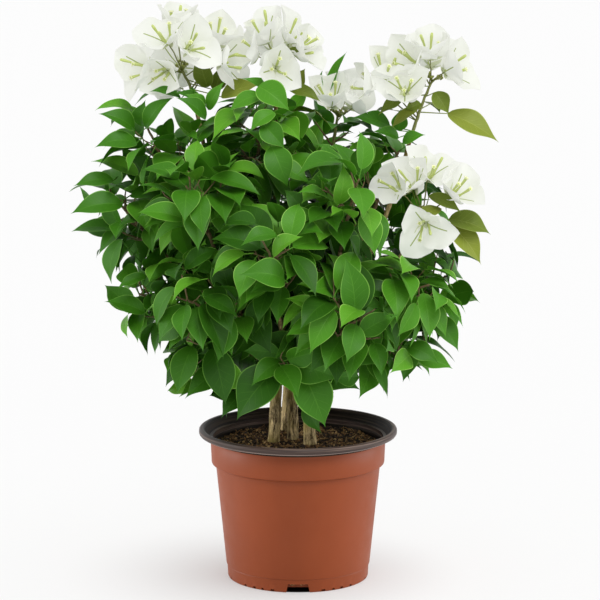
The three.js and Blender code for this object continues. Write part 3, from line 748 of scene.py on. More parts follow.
def dark_plastic(name, *shades, specular=0.4):
    """Dark plastic with scuffed streaks round it, from three shades."""
    material = plain(name, shades[1], 0.45, Specular_IOR_Level=specular)
    nodes = Nodes(material)
    streak = nodes.noise(nodes.place((3, 3, 260)), 3, 4, 0.6)
    colour = nodes.ramp(streak, *zip((0.4, 0.5, 0.62), shades))
    nodes.link(colour, "Base Color")
    nodes.link(nodes.range(streak, 0.3, 0.7, 0.34, 0.55), "Roughness")
    nodes.bump(streak, 0.35, 0.0004)
    return material


def bark(name, colour, dark, moss):
    """Bark with long fissures, from one shade of a colour to another, and greener patches."""
    material = plain(name, colour, 0.85)
    nodes = Nodes(material)
    fissure = nodes.noise(nodes.place((1.25, 1.25, 0.2)), 340, 7, 0.74)
    shade = nodes.ramp(fissure, (0.43, dark), (0.66, colour))
    patch = nodes.noise(nodes.place((1, 1, 0.6)), 60, 2)
    nodes.link(blend_colours(nodes, nodes.range(patch, 0.42, 0.66, 0, 0.75), shade, moss), "Base Color")
    nodes.bump(fissure, 0.7, 0.0008)
    return material


def growth_rng(name):
    """A seeded generator for the finer chances of a named piece."""
    return np.random.RandomState(sum(ord(letter) * (i + 1) for i, letter in enumerate(name)))


# The masses, their spaces, and the limbs that reach them.

def middle_of(bearing, out, height):
    angle = math.radians(bearing)
    return vec(CROWN_X + out * math.sin(angle), -out * math.cos(angle), height)


class Mass(SimpleNamespace):
    """A mass of leaves or a spray: its space, its limbs and what grows on them."""

    def room_at(self, point, share):
        """Whether no leaf of the mass has its middle within a share of the least distance."""
        apart = self.hearts[:len(self.blades)] - point
        return not np.any(np.einsum("ij,ij->i", apart, apart) < (share * CROWDED) ** 2)


MOST_LEAVES = 500
MASSES = []
for name, (stem, bearing, out, height, reach, seed) in LEAF_MASSES.items():
    MASSES.append(Mass(
        name=name, stem=stem, middle=middle_of(bearing, out, height), reach=reach, seed=seed,
        clusters=[], ceiling=math.inf,
    ))
for name, (stem, middle, reach, hub, seed, ceiling, clusters, leaves) in SPRAYS.items():
    MASSES.append(Mass(
        name=name, stem=stem, middle=vec(*middle), reach=reach, seed=seed, hub=vec(*hub),
        clusters=clusters, leaves=leaves, ceiling=ceiling,
    ))
MIDDLES = np.array([mass.middle for mass in MASSES])
REACHES = np.array([mass.reach for mass in MASSES], float)
IS_SPRAY = np.array([bool(mass.clusters) for mass in MASSES])
for index, mass in enumerate(MASSES):
    mass.index = index
    mass.hearts = np.zeros((MOST_LEAVES, 3))
    mass.blades, mass.fine = [], []
    mass.spans = np.linalg.norm(MIDDLES - mass.middle, axis=1)
    mass.spans[index] = 1


def in_space(mass, points, spill=-CLEARANCE, spill_on_sprays=-CLEARANCE, over=0):
    """Whether all points lie in a mass's ball, and past its own or a neighbour's edge by little."""
    points = np.atleast_2d(points)
    power = np.sum((points[:, None] - MIDDLES) ** 2, -1) - REACHES**2
    own = power[:, mass.index]
    if own.max() > over * (over + 2 * mass.reach) or points[:, 2].min() < LOWEST_LEAF:
        return False
    spare = (power - own[:, None]) / (2 * mass.spans)
    spare[:, mass.index] = np.inf
    return bool(np.all(spare > np.where(IS_SPRAY, -spill_on_sprays, -spill)))


def deep_inside(points):
    """Whether all points lie well inside the crown, clear of the spaces of the sprays."""
    points = np.atleast_2d(points)
    inside = np.sum(((points - INNER_MIDDLE) / INNER_REACH) ** 2, -1).max() < 1
    power = np.sum((points[:, None] - MIDDLES[IS_SPRAY]) ** 2, -1) - REACHES[IS_SPRAY] ** 2
    return bool(inside and points[:, 2].min() > INNER_LOWEST and power.min() > 0)


# Where bracts show before the crown: the middle across and up, the depth behind them, and a reach.
SHOWN_BRACTS = [(88, 358, -30, 24), (110, 350, -30, 26), (106, 318, -40, 26)]


def in_parting(points):
    """Whether a point hangs lower than the leaves do there."""
    x, y, z = points.T
    return any(
        np.any((x > left) & (x < right) & (z < top - PARTING_RISE * y))
        for left, right, top in PARTINGS
    )


def before_bracts(points):
    """Whether a point hangs in front of bracts that show."""
    x, y, z = points.T
    return any(
        np.any((y < depth) & (np.hypot(x - across, z - up) < reach))
        for across, up, depth, reach in SHOWN_BRACTS
    )


def outward_at(point):
    return unit(point - HEART)


def edge_share(point):
    """0 in the dense middle of the crown, and 1 at its furthest tips."""
    past = np.linalg.norm((point - CORE_MIDDLE) / CORE_REACH) - 1
    return min(1, max(0, past / EDGE))


def stem_curve(name):
    foot, tip, height, _ = STEMS[name]
    start, end = vec(*foot, SOIL_TOP + GAP), vec(*tip, height)
    return quadratic(start, (start + end) / 2 + STEM_BOW, end)


def stem_radius(name, t):
    _, _, height, radius = STEMS[name]
    rise = t * (height - SOIL_TOP)
    flare = 1 + (FLARE - 1) * np.maximum(0, 1 - rise / FLARE_HEIGHT) ** 2
    return radius * flare * (1 - (1 - STEM_TAPER) * t)


def bough_curve(mass, lift, sway):
    siblings = [other for other in MASSES if other.stem == mass.stem]
    order = sorted(siblings, key=lambda other: -other.middle[2]).index(mass)
    share = BOUGH_SHARE_OF_STEM * order / len(siblings)
    start = stem_curve(mass.stem).at(HIGHEST_BOUGH - share)
    level = mass.middle[:2] - start[:2]
    far = max(SHORTEST_BEND, BOUGH_BEND * math.hypot(*level))
    angle = math.atan2(level[1], level[0]) + sway
    rise = max(LEAST_RISE, lift * (mass.middle[2] - start[2]))
    bend = start + vec(far * math.cos(angle), far * math.sin(angle), rise)
    whole = quadratic(start, bend, mass.middle, 40)
    end = 1.0
    while end > SHORTEST_BOUGH and in_space(mass, whole.at(end)):
        end -= BOUGH_TRIM
    cut = end + BOUGH_INTO_MASS / whole.length
    return Curve(whole.at(np.linspace(0, cut, BOUGH_POINTS)))


def place_bough(mass):
    """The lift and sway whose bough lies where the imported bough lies, as the solids take them."""
    low, high = (np.array(corner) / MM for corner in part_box(f"bough_{mass.name}"))

    def misfit(curve):
        points = curve.points
        return abs(points.min(0) - low).sum() + abs(points.max(0) - high).sum()

    ways = [bough_curve(mass, lift, sway) for lift in LIFTS for sway in SWAYS]
    return min(ways, key=misfit)


def bough_radius(t):
    return BOUGH_RADIUS + (BOUGH_TIP_RADIUS - BOUGH_RADIUS) * t


MOST_OBSTACLES = 6000


class Obstacles:
    """What has grown so far, each thing as a tree of its faces in its own ball."""

    def __init__(self):
        self.trees = []
        self.middles = np.zeros((MOST_OBSTACLES, 3))
        self.radii = np.zeros(MOST_OBSTACLES)

    def ball(self, points):
        middle = (points.min(0) + points.max(0)) / 2
        return middle, np.linalg.norm(points - middle, axis=1).max()

    def tree(self, points, faces):
        polygons = [face for block in faces for face in np.asarray(block).tolist()]
        return BVHTree.FromPolygons(points.tolist(), polygons)

    def add(self, points, faces):
        count = len(self.trees)
        self.middles[count], self.radii[count] = self.ball(points)
        self.trees.append(self.tree(points, faces))

    def near(self, points):
        middle, radius = self.ball(points)
        count = len(self.trees)
        apart = np.linalg.norm(self.middles[:count] - middle, axis=1)
        return np.nonzero(apart < self.radii[:count] + radius)[0]

    def clear(self, points, faces):
        tree = self.tree(points, faces)
        return not any(self.trees[i].overlap(tree) for i in self.near(points))


grown = Obstacles()


def add_tube(curve, start, end, points=7, sides=4):
    shares = np.linspace(0, 1, points)
    grown.add(*tube(curve.at(shares), np.linspace(start, end, points), sides))


for name in STEMS:
    add_tube(stem_curve(name), stem_radius(name, 0), stem_radius(name, 1))
for mass in MASSES:
    mass.bough = place_bough(mass)
    mass.heading = unit(mass.bough.points[-1] - mass.bough.points[-2])
    mass.root = mass.bough.points[-1]
    add_tube(mass.bough, BOUGH_RADIUS, BOUGH_TIP_RADIUS)
LIMBS = [(mass.name, mass.bough) for mass in MASSES] + [(name, stem_curve(name)) for name in STEMS]
POINTS_A_LIMB = 30
LIMB_POINTS = np.concatenate([limb.at(np.linspace(0, 1, POINTS_A_LIMB)) for _, limb in LIMBS])
LIMB_OWNERS = np.repeat([name for name, _ in LIMBS], POINTS_A_LIMB)


def clear_of_limbs(points, radius, own=""):
    """Whether points keep off every limb but the one that carries them."""
    others = LIMB_POINTS[LIMB_OWNERS != own]
    apart = np.linalg.norm(points[:, None] - others, axis=-1)
    return apart.min() > BOUGH_RADIUS + radius + CLEARANCE


# Twigs.

def running_on(mass, tip):
    """A stem that runs on from a mass's bough to a tip."""
    bend = mass.root + mass.heading * 0.5 * np.linalg.norm(mass.root - tip)
    return quadratic(mass.root, bend, tip)


def mass_axis(mass):
    """The stem of a mass runs on from its bough, through its middle, to near its far side."""
    for swing in TRIES:
        away = mix((outward_at(mass.middle), 1), (UP, AXIS_RISE))
        if swing:
            away = mix((away, 1), (spoke(away, swing), AXIS_SWERVE))
        reach = AXIS_REACH * mass.reach
        while reach > 0 and not in_space(mass, mass.middle + away * (reach + ROOM_FOR_TUFT)):
            reach -= AXIS_TRIM
        axis = running_on(mass, mass.middle + away * reach)
        if clear_of_limbs(axis.points[3:], TWIG_RADIUS, mass.name):
            return axis
    return axis


def side_twig(mass, foot, out, length, spill):
    tip = foot + out * length + UP * TWIG_RISE * length
    curve = quadratic(foot, foot + out * 0.5 * length, tip, 8)
    way = np.concatenate([curve.points[1:], [tip + out * ROOM_FOR_TUFT]])
    if in_space(mass, way, spill) and clear_of_limbs(curve.points[2:], TWIG_RADIUS):
        return curve
    return None


def side_twigs(mass, parent, places, reach, draw, spill=-CLEARANCE):
    """Twigs leave their parent by a steady turn, each as long as its space allows."""
    twigs = []
    turn = draw() * 2 * math.pi
    for t in places:
        foot, heading = parent.at(t), parent.heading(t)
        out = mix((heading, 0.5), (spoke(heading, turn), 0.85), (UP, 0.18))
        for size in TWIG_SIZES:
            length = reach * size * (LEAST_TWIG + TWIG_SPREAD * draw())
            twig = side_twig(mass, foot, out, length, spill)
            if twig:
                twigs.append(twig.carried_by(parent, t))
                break
        turn += TURN
    return twigs


def grow_twigs(mass):
    draw = seeded(mass.seed)
    mass.axis = mass_axis(mass)
    mass.axis.used = 0
    places = [LOWEST_TWIG + TWIG_SPACING * i for i in range(TWIGS)]
    mass.twigs = side_twigs(mass, mass.axis, places, mass.reach * TWIG_REACH, draw)
    for twig in [mass.axis, *mass.twigs]:
        reach = FINE_TWIG_SHARE * min(twig.length, mass.reach * TWIG_REACH)
        mass.fine += side_twigs(mass, twig, FINE_TWIGS, reach, draw, SPILL)
    add_tube(mass.axis, BOUGH_TIP_RADIUS, TWIG_RADIUS)
    for twig in mass.twigs:
        add_tube(twig, TWIG_RADIUS, TWIG_TIP_RADIUS)
    for twig in mass.fine:
        add_tube(twig, FINE_TWIG_RADIUS, FINE_TWIG_TIP_RADIUS)


# Blades: leaves and bracts are grids of rows along a midrib, closed to a point at both ends.

def blade_grid(steps, columns):
    """The faces of a blade with single points at its root and tip, and each face's column and row."""
    wide = len(columns)
    strip = np.arange(wide - 1)
    row = np.stack([strip, strip + wide, strip + wide + 1, strip + 1], -1) + 1
    quads = np.concatenate([row + wide * i for i in range(steps - 2)])
    top = strip + 1 + wide * (steps - 2)
    root = np.stack([np.zeros_like(strip), strip + 1, strip + 2], -1)
    tip = np.stack([top, np.full_like(strip, 1 + wide * (steps - 1)), top + 1], -1)
    across = np.array(columns, float)
    flank = abs(across[None])
    shares = np.linspace(0, 1, steps + 1)[:, None]
    return SimpleNamespace(
        steps=steps, columns=across, faces=[quads, root, tip], column_of=np.tile(strip, steps),
        row_of=np.repeat([*range(1, steps - 1), 0, steps - 1], wide - 1),
        shares=shares, mids=((np.arange(steps) + 0.5) / steps)[:, None], swell=np.sin(np.pi * shares),
        flank=flank, far_side=np.where(across[None] > 0, 1.9, 0), between=flank**0.5 * (1 - flank**4),
    )


LEAF_GRID = blade_grid(18, [-1, -0.945, -0.64, -0.3, -0.025, 0.025, 0.3, 0.64, 0.945, 1])
BRACT_GRID = blade_grid(16, [-1, -0.84, -0.62, -0.4, -0.2, -0.035, 0.035, 0.2, 0.4, 0.62, 0.84, 1])


def leaf_outline(u):
    """Half the width of a pointed egg-shaped leaf along its length, 1 at its widest."""
    return np.sin(np.pi * np.minimum(u, 1) ** 0.76) ** (0.9 + 0.85 * u)


def bract_outline(u):
    """A bract is broad and round at its foot and comes to a short point."""
    return np.sin(np.pi * np.minimum(u, 1) ** 0.86) ** (0.52 + 0.4 * u**4)


def row_cross(a, b):
    return np.stack([
        a[:, 1] * b[:, 2] - a[:, 2] * b[:, 1],
        a[:, 2] * b[:, 0] - a[:, 0] * b[:, 2],
        a[:, 0] * b[:, 1] - a[:, 1] * b[:, 0],
    ], -1)


def lengths(rows):
    return np.sqrt(np.einsum("ij,ij->i", rows, rows))[:, None]


def grow_blade(grid, outline, at, along, upwards, form):
    """The points of a blade that leaves its stalk at a point, curls back from upwards and sinks."""
    side = unit(cross(along, upwards))
    up = cross(side, along)
    bend = form.curl * grid.mids
    ways = np.cos(bend) * along - np.sin(bend) * up + form.sag * grid.mids * DOWN
    ways /= lengths(ways)
    line = np.empty((grid.steps + 1, 3))
    line[0] = at
    line[1:] = at + np.cumsum(ways, axis=0) * (form.length / grid.steps)
    heads = np.empty_like(line)
    heads[0], heads[-1] = ways[0], ways[-1]
    heads[1:-1] = ways[:-1] + ways[1:]
    heads /= lengths(heads)
    sides = side - heads * (heads @ side)[:, None]
    sides /= lengths(sides)
    ups = row_cross(sides, heads)
    turn = form.twist * grid.shares
    cosine, sine = np.cos(turn), np.sin(turn)
    sides, ups = sides * cosine + ups * sine, ups * cosine - sides * sine
    half = form.width / 2 * outline(grid.shares)
    u, flank, swell = grid.shares, grid.flank, grid.swell
    lift = 2 * form.fold * half * flank**form.crown
    phase = form.phase + grid.far_side
    lift = lift + form.wave * swell * flank**2 * np.sin(2 * np.pi * form.waves * u + phase)
    if grid is not PROXY_GRID:
        vein = (form.veins * (u - 0.3 * flank)) % 1
        bulge = (2 * np.minimum(vein, 1 - vein)) ** 0.6
        lift = lift + form.quilt * swell * (bulge - 0.7) * grid.between
    wide = (grid.columns[None] * half)[..., None]
    points = line[:, None] + sides[:, None] * wide + ups[:, None] * lift[..., None]
    return np.concatenate([line[:1], points[1:-1].reshape(-1, 3), line[-1:]])


# A coarse copy of a blade tests what it touches.
PROXY_GRID = blade_grid(6, [-1, 0, 1])
PROXY_MIDDLE = 8


def leaf_form(age, rng):
    """A young leaf stands up and is smaller. An old one hangs."""
    length = (YOUNG_BLADE + (BLADE - YOUNG_BLADE) * age) * rng.uniform(0.88, 1.12)
    return SimpleNamespace(
        stalk=STALK * rng.uniform(0.8, 1.3), length=length,
        width=length * BLADE_WIDTH * rng.uniform(0.92, 1.08),
        curl=rng.uniform(0.4, 1.1), sag=rng.uniform(0, 0.3) + 0.35 * age,
        droop=rng.uniform(-0.05, 0.25) + 0.25 * age, outward=rng.uniform(0.05, 0.4),
        fold=FOLD * rng.uniform(0.5, 1.5), crown=1.2, twist=rng.uniform(-0.35, 0.35),
        wave=rng.uniform(0.2, 0.9), waves=rng.uniform(1, 2), phase=rng.uniform(0, 6.28), veins=5,
        quilt=0.5, facing=unit(rng.normal(size=3)),
    )


def resized(form, size):
    return SimpleNamespace(**{**vars(form), "length": form.length * size, "width": form.width * size})


GREEN_NAMES = ["young", "fresh", "green", "deep", "olive", "gold"]
YOUNG, FRESH, GREEN, DEEP, OLIVE, GOLD = range(len(GREEN_NAMES))


def add_blade(mass, proxy, foot, along, upwards, form, at, tint):
    """Adds a leaf to a mass, by its coarse copy, and its stalk's foot and tint."""
    grown.add(proxy, PROXY_GRID.faces)
    mass.hearts[len(mass.blades)] = proxy[PROXY_MIDDLE]
    points = grow_blade(LEAF_GRID, leaf_outline, foot, along, upwards, form)
    mass.blades.append((points, at, along, tint))


def try_leaf(mass, at, along, upwards, form, tint, fits):
    """Grows one leaf if it fits in the mass's space and touches nothing that has grown."""
    foot = at + along * form.stalk
    if not mass.room_at(foot + along * form.length * ROUGH_MIDDLE, ROUGHLY):
        return False
    if not fits(foot + (along + DOWN * form.sag * ROUGH_SAG) * form.length * ROUGH_TIP):
        return False
    proxy = grow_blade(PROXY_GRID, leaf_outline, foot, along, upwards, form)
    if not fits(proxy) or in_parting(proxy) or before_bracts(proxy) or proxy[:, 2].max() > mass.ceiling:
        return False
    spacing = 1 + EDGE_SPACING * edge_share(proxy[PROXY_MIDDLE])
    if not mass.room_at(proxy[PROXY_MIDDLE], spacing) or not grown.clear(proxy, PROXY_GRID.faces):
        return False
    add_blade(mass, proxy, foot, along, upwards, form, at, tint)
    return True


def fit_leaf(mass, twig, t, turn, lean, form, tint, fits=None):
    """Grows a leaf at the first turn round its twig where it fits, whole or somewhat smaller."""
    if t + HEADING_STEP <= 0:
        return
    fits = fits or (lambda points: in_space(mass, points, SPILL))
    at, heading = twig.at(t), twig.heading(t)
    away, edge = outward_at(at), edge_share(at)
    upwards = mix((UP, FACES_UP), (away, FACES_OUT), (form.facing, FACES_ANY_WAY))
    for size, swing in itertools.product(SHRINK, TRIES):
        along = mix(
            (heading, math.cos(lean)), (spoke(heading, turn + swing), math.sin(lean)),
            (away, form.outward + EDGE_OUTWARD * edge), (DOWN, form.droop * (1 - edge)),
        )
        if try_leaf(mass, at, along, upwards, resized(form, size), tint, fits):
            twig.used = max(twig.used, t)
            return


def tuft_leaf(mass, twig, i, turn, tint, age, rng, fits=None, step=TUFT_STEP):
    """The leaf of a place in a tuft, counted from the twig's tip. Those further down lean out more."""
    t = TUFT_TOP - step * LEAF_STEP * i / twig.length
    fit_leaf(mass, twig, t, turn, TUFT_LEAN + TUFT_SPREAD * i, leaf_form(age, rng), tint, fits)


# The greens that twigs choose from, in a mass whose middle is above HIGH and in one below it, and
# those of filling twigs. Then how often an older leaf is one green deeper, and how much younger than
# the oldest one a leaf near the tip is.
TONES = [FRESH, FRESH, GREEN, GREEN, DEEP]
HIGH_TONES = [FRESH, YOUNG, FRESH, GREEN, FRESH]
HIGH = 325
FILL_TONES = [FRESH, GREEN, DEEP]
DEEPER = 0.4
YOUNGER = 0.6


def grow_leaves(mass):
    """A tuft at the tip of each twig, then older leaves down each twig, by a steady turn."""
    rng = growth_rng(mass.name)
    twigs = [*([] if mass.clusters else [mass.axis]), *mass.twigs, *mass.fine]
    choices = HIGH_TONES if mass.middle[2] > HIGH else TONES
    tones = [rng.choice(choices) for _ in twigs]
    for twig, tone in zip(twigs, tones):
        turn = rng.uniform(0, 2 * math.pi)
        for i in range(TUFT):
            tint = YOUNG if i < YOUNG_IN_TUFT and tone == FRESH else tone
            tuft_leaf(mass, twig, i, turn, tint, TUFT_AGE * i, rng)
            turn += TURN
    for twig, tone in zip(twigs[::-1], tones[::-1]):
        turn = rng.uniform(0, 2 * math.pi)
        for walked in np.arange(twig.length - 2 * LEAF_STEP, FIRST_LEAF, -LEAF_STEP):
            t = walked / twig.length
            form, tint = leaf_form(1 - YOUNGER * t, rng), min(tone + (rng.uniform() < DEEPER), DEEP)
            fit_leaf(mass, twig, t, turn, LEAF_LEAN, form, tint)
            turn += TURN
    for twig in mass.fine + mass.twigs:
        if twig.used:
            twig.parent.used = max(twig.parent.used, twig.share)


def ways_round(count):
    """Unit vectors dealt out evenly over a ball."""
    for i in range(count):
        height = 1 - 2 * (i + 0.5) / count
        level = math.sqrt(1 - height**2)
        yield vec(level * math.cos(i * TURN), level * math.sin(i * TURN), height)


def fill_place(spot, sockets, reach, fits, rng):
    """A twig from the nearest of the sockets towards a bare place, with a tuft of leaves."""
    feet = np.array([foot for foot, *_ in sockets])
    apart = np.linalg.norm(feet - spot, axis=1)
    nearest = int(np.argmin(np.where(apart > ROOM_FOR_TUFT, apart, np.inf)))
    if apart[nearest] > reach:
        return
    foot, mass, parent, share = sockets[nearest]
    tip = foot + (spot - foot) * FILL_SHARE
    twig = quadratic(foot, (foot + tip) / 2 + UP * FILL_BOW * apart[nearest], tip, 8)
    if not clear_of_limbs(twig.points[2:], TWIG_RADIUS, mass.name):
        return
    twig.carried_by(parent, share)
    turn, tone = rng.uniform(0, 2 * math.pi), rng.choice(FILL_TONES)
    for i in range(FILL_TUFT):
        tuft_leaf(mass, twig, i, turn + TURN * i, tone, TUFT_AGE * i, rng, fits)
    if twig.used:
        parent.used = max(parent.used, share)
        mass.fine.append(twig)


def sockets_of(mass):
    """The places on a mass's twigs that a filling twig can leave."""
    for twig in [mass.axis, *mass.twigs, *mass.fine]:
        for share in FILL_SOCKETS:
            yield twig.at(share), mass, twig, share


def is_bare(spot):
    return all(mass.room_at(spot, FILL_BARE / CROWDED) for mass in MASSES)


def fill_mass(mass):
    rng = growth_rng(mass.name + "fill")
    sockets = list(sockets_of(mass))
    for way in ways_round(FILL_WAYS):
        spot = mass.middle + way * mass.reach * FILL_OUT
        outside = np.dot(way, outward_at(mass.middle)) > FILL_BACK
        below = spot[2] < mass.ceiling - ROOM_FOR_TUFT
        if outside and below and in_space(mass, spot, 0) and is_bare(spot):
            fill_place(spot, sockets, FILL_REACH, None, rng)


def fill_crown():
    rng = growth_rng("crown")
    masses = [mass for mass in MASSES if not mass.clusters]
    sockets = [socket for mass in masses for socket in sockets_of(mass)]
    for way in ways_round(CROWN_WAYS):
        spot = INNER_MIDDLE + way * INNER_REACH * CROWN_OUT
        if deep_inside(spot) and is_bare(spot):
            fill_place(spot, sockets, CROWN_REACH, deep_inside, rng)


def grow_inner_leaves(mass):
    """Twigs on the bough inside the crown, with leaves in the deepest green, painted shade for the inside
    of the crown, that fill what the masses leave open.
    """
    rng = growth_rng(mass.name + "inner")
    turn = rng.uniform(0, 2 * math.pi)
    for share in INNER_TWIGS:
        turn += TURN
        foot, heading = mass.bough.at(share), mass.bough.heading(share)
        out = mix((heading, 0.4), (spoke(heading, turn), 0.9), (UP, 0.15))
        twig = quadratic(foot, foot + out * 0.5 * INNER_TWIG_REACH, foot + out * INNER_TWIG_REACH, 8)
        twig.carried_by(mass.axis, 0)
        free = twig.points[2:]
        if not deep_inside(free) or not clear_of_limbs(free, TWIG_RADIUS, mass.name):
            continue
        for i in range(INNER_TUFT):
            age = INNER_AGE + INNER_AGE_STEP * i
            # The inner leaves all take the deepest green: painted shade inside the crown.
            tuft_leaf(mass, twig, i, turn + TURN * i, DEEP, age, rng, deep_inside, INNER_TUFT_STEP)
        mass.fine.append(twig)


def grid_weights(grid, u, v):
    """The weights on a blade's points that give its surface at (u, v), one row for each pair."""
    wide = len(grid.columns)
    row = np.clip(u * grid.steps - 1, 0, grid.steps - 2.001)
    column = np.interp(v, grid.columns, np.arange(wide)).clip(0, wide - 1.001)
    low, left = row.astype(int), column.astype(int)
    row, column = row - low, column - left
    weights = np.zeros((len(u), wide * (grid.steps - 1) + 2))
    each = np.arange(len(u))
    for down, row_share in ((0, 1 - row), (1, row)):
        for across, column_share in ((0, 1 - column), (1, column)):
            weights[each, 1 + (low + down) * wide + left + across] += row_share * column_share
    return weights


# The side veins: where along the midrib they start, how far up the leaf they run, half their width
# as a share of its length, how much of that they lose, and how far across they start and run. Then
# their points, how far they stand out, and the small steps that give the blade's slopes.
VEIN_STARTS = [0.14, 0.26, 0.38, 0.5, 0.62]
VEIN_RISE = 0.16
VEIN_WIDTH = 0.0045
VEIN_TAPER = 0.7
VEIN_INNER = 0.03
VEIN_ACROSS = 0.82
VEIN_POINTS = 4
VEIN_LIFT = 0.1
STEP_ALONG = 0.03
STEP_ACROSS = 0.05


def vein_net(grid):
    """The side veins of a leaf as narrow strips: weights for their points and slopes, and faces."""
    step = np.linspace(0, 1, VEIN_POINTS)
    u, v = [], []
    for start, side, edge in itertools.product(VEIN_STARTS, (-1, 1), (-1, 1)):
        u.append(start + VEIN_RISE * step**0.8 + edge * VEIN_WIDTH * (1 - VEIN_TAPER * step))
        v.append(side * (VEIN_INNER + VEIN_ACROSS * step))
    u, v = np.concatenate(u), np.concatenate(v)
    strips = 2 * len(VEIN_STARTS)
    quad = np.array([(i, i + 1, i + 1 + VEIN_POINTS, i + VEIN_POINTS) for i in range(VEIN_POINTS - 1)])
    faces = np.concatenate([
        (quad if strip % 2 else quad[:, ::-1]) + 2 * VEIN_POINTS * strip for strip in range(strips)
    ])
    slopes = [
        grid_weights(grid, u + STEP_ALONG, v) - grid_weights(grid, u - STEP_ALONG, v),
        grid_weights(grid, u, v + STEP_ACROSS) - grid_weights(grid, u, v - STEP_ACROSS),
    ]
    return grid_weights(grid, u, v), slopes, faces


VEINS = vein_net(LEAF_GRID)


def add_veins(shape, points, tint):
    places, (along, across), faces = VEINS
    normals = row_cross(across @ points, along @ points)
    normals /= lengths(normals) + 1e-9
    shape.add(places @ points + normals * VEIN_LIFT, [faces], tint)


def add_leaf(shape, points, at, along, tint):
    """A blade in its own green with a paler midrib and edge, and its stalk."""
    leaf, rib, edge = (tint * 3 + part for part in range(3))
    add_veins(shape, points, rib)
    column, wide = LEAF_GRID.column_of, len(LEAF_GRID.columns)
    tints = np.where(column == wide // 2 - 1, rib, leaf)
    tints[(column == 0) | (column == wide - 2)] = edge
    shape.add(points, LEAF_GRID.faces, tints)
    foot = points[0] + (points[1 + wide // 2] - points[0]) * 0.3
    stalk = quadratic(at, (at + foot) / 2 + along * 0.5, foot, 4)
    shape.add(*tube(stalk.points, np.linspace(STALK_RADIUS, STALK_RADIUS * 0.7, 5), 5), rib)


# How finely a drawn twig is stepped, how far it zigzags, and how much its knots stand out.
TWIG_STEP = 3.5
TWIG_SIDES = 6
ZIGZAG = 0.35
KNOT = 0.16


def add_twig(shape, curve, start, end, rng, tint=0):
    """A twig with a slight zigzag and knots where its leaves leave it."""
    t = np.linspace(0, 1, max(4, int(curve.length / TWIG_STEP)) + 1)
    points = curve.at(t)
    sway = rng.uniform(-ZIGZAG, ZIGZAG, points.shape) * np.minimum(1, t * 6)[:, None]
    knots = 1 + KNOT * np.maximum(0, np.sin(t * curve.length / LEAF_STEP * 2 * np.pi)) ** 6
    radii = (start + (end - start) * t) * knots
    shape.add(*tube(points + sway, radii, TWIG_SIDES), tint)


# The sprays of bracts.

def bract_form(size, rng):
    length = BRACT * size
    return SimpleNamespace(
        length=length, width=length * BRACT_WIDTH, curl=BRACT_CURL * rng.uniform(-0.8, 2), sag=0,
        fold=BRACT_FOLD * rng.uniform(0.6, 1.3), crown=1.8, twist=rng.uniform(-0.25, 0.25),
        wave=rng.uniform(1, 2.6), waves=rng.uniform(1.4, 2.8), phase=rng.uniform(0, 6.28),
        veins=4, quilt=0.6,
    )


def grow_cluster(mass, centre, opens, roll, rng):
    """Three bracts round the way that the cluster opens, each as large as its space allows."""
    for i in range(3):
        out = spoke(opens, roll + i * 2 * math.pi / 3)
        spread = rng.uniform(0.5, 0.9)
        along = mix((opens, 0.8), (out, spread))
        inwards = mix((opens, spread), (out, -0.8))
        at = centre - opens * BRACT_STEP * i
        for size in BRACT_SIZES:
            form = bract_form(size, rng)
            points = grow_blade(BRACT_GRID, bract_outline, at, along, inwards, form)
            if in_space(mass, points, BRACT_SPILL, BRACT_SPILL, BRACT_SPILL):
                mass.bracts.append((points, opens, out))
                proxy = grow_blade(PROXY_GRID, bract_outline, at, along, inwards, form)
                grown.add(proxy, PROXY_GRID.faces)
                break


def place_leaf(mass, at, foot, tip, facing, wide, green, rng, curl=None):
    """A leaf which arches from its foot to its tip and shows its face one way."""
    form = leaf_form(0, rng)
    form.curl = curl or form.curl
    chord = unit(tip - foot)
    face = unit(facing - chord * np.dot(facing, chord))
    form.length = ARCHED * np.linalg.norm(tip - foot)
    form.width, form.sag, form.twist = form.length * wide, 0, 0
    along = math.cos(form.curl / 2) * chord + math.sin(form.curl / 2) * face
    proxy = grow_blade(PROXY_GRID, leaf_outline, foot, along, face, form)
    add_blade(mass, proxy, foot, along, face, form, at, GREEN_NAMES.index(green))


def grow_spray(mass):
    draw = seeded(mass.seed)
    rng = growth_rng(mass.name)
    mass.axis = running_on(mass, mass.hub)
    mass.axis.used = 1
    mass.bracts, mass.stalks = [], []
    for share, at, opens in mass.clusters:
        centre, opens = vec(*at), unit(vec(*opens))
        foot = mass.axis.at(share)
        bow = (foot + centre) / 2 - opens * STALK_BOW * np.linalg.norm(foot - centre) + UP * STALK_RISE
        mass.stalks.append(quadratic(foot, bow, centre + opens, 8))
        grow_cluster(mass, centre, opens, draw() * 2, rng)
    for share, foot, tip, facing, wide, green in mass.leaves:
        place_leaf(mass, mass.axis.at(share), vec(*foot), vec(*tip), vec(*facing), wide, green, rng)
    mass.twigs = side_twigs(mass, mass.axis, FOOT_TWIGS, FOOT_TWIG_REACH, draw, SPILL)


def place_outline_leaves(mass):
    """Each on a stalk from the nearest twig."""
    rng = growth_rng(mass.name + "outline")
    for foot, tip, facing, wide, green in OUTLINE_LEAVES.get(mass.name, []):
        foot = vec(*foot)
        at, _, twig, share = min(sockets_of(mass), key=lambda socket: np.linalg.norm(socket[0] - foot))
        twig.used = max(twig.used, share)
        place_leaf(mass, at, foot, vec(*tip), vec(*facing), wide, green, rng, rng.uniform(*OUTLINE_CURL))


# The rows of a bract that its green midrib and its greener foot take.
RIB_ROWS = 11
FOOT_ROWS = 2


def add_bract(shape, points):
    """White paper with a green midrib in its lower part and a greener foot."""
    grid = BRACT_GRID
    rib = (grid.column_of == len(grid.columns) // 2 - 1) & (grid.row_of < RIB_ROWS)
    shape.add(points, grid.faces, np.where(rib, 2, np.where(grid.row_of < FOOT_ROWS, 1, 0)))


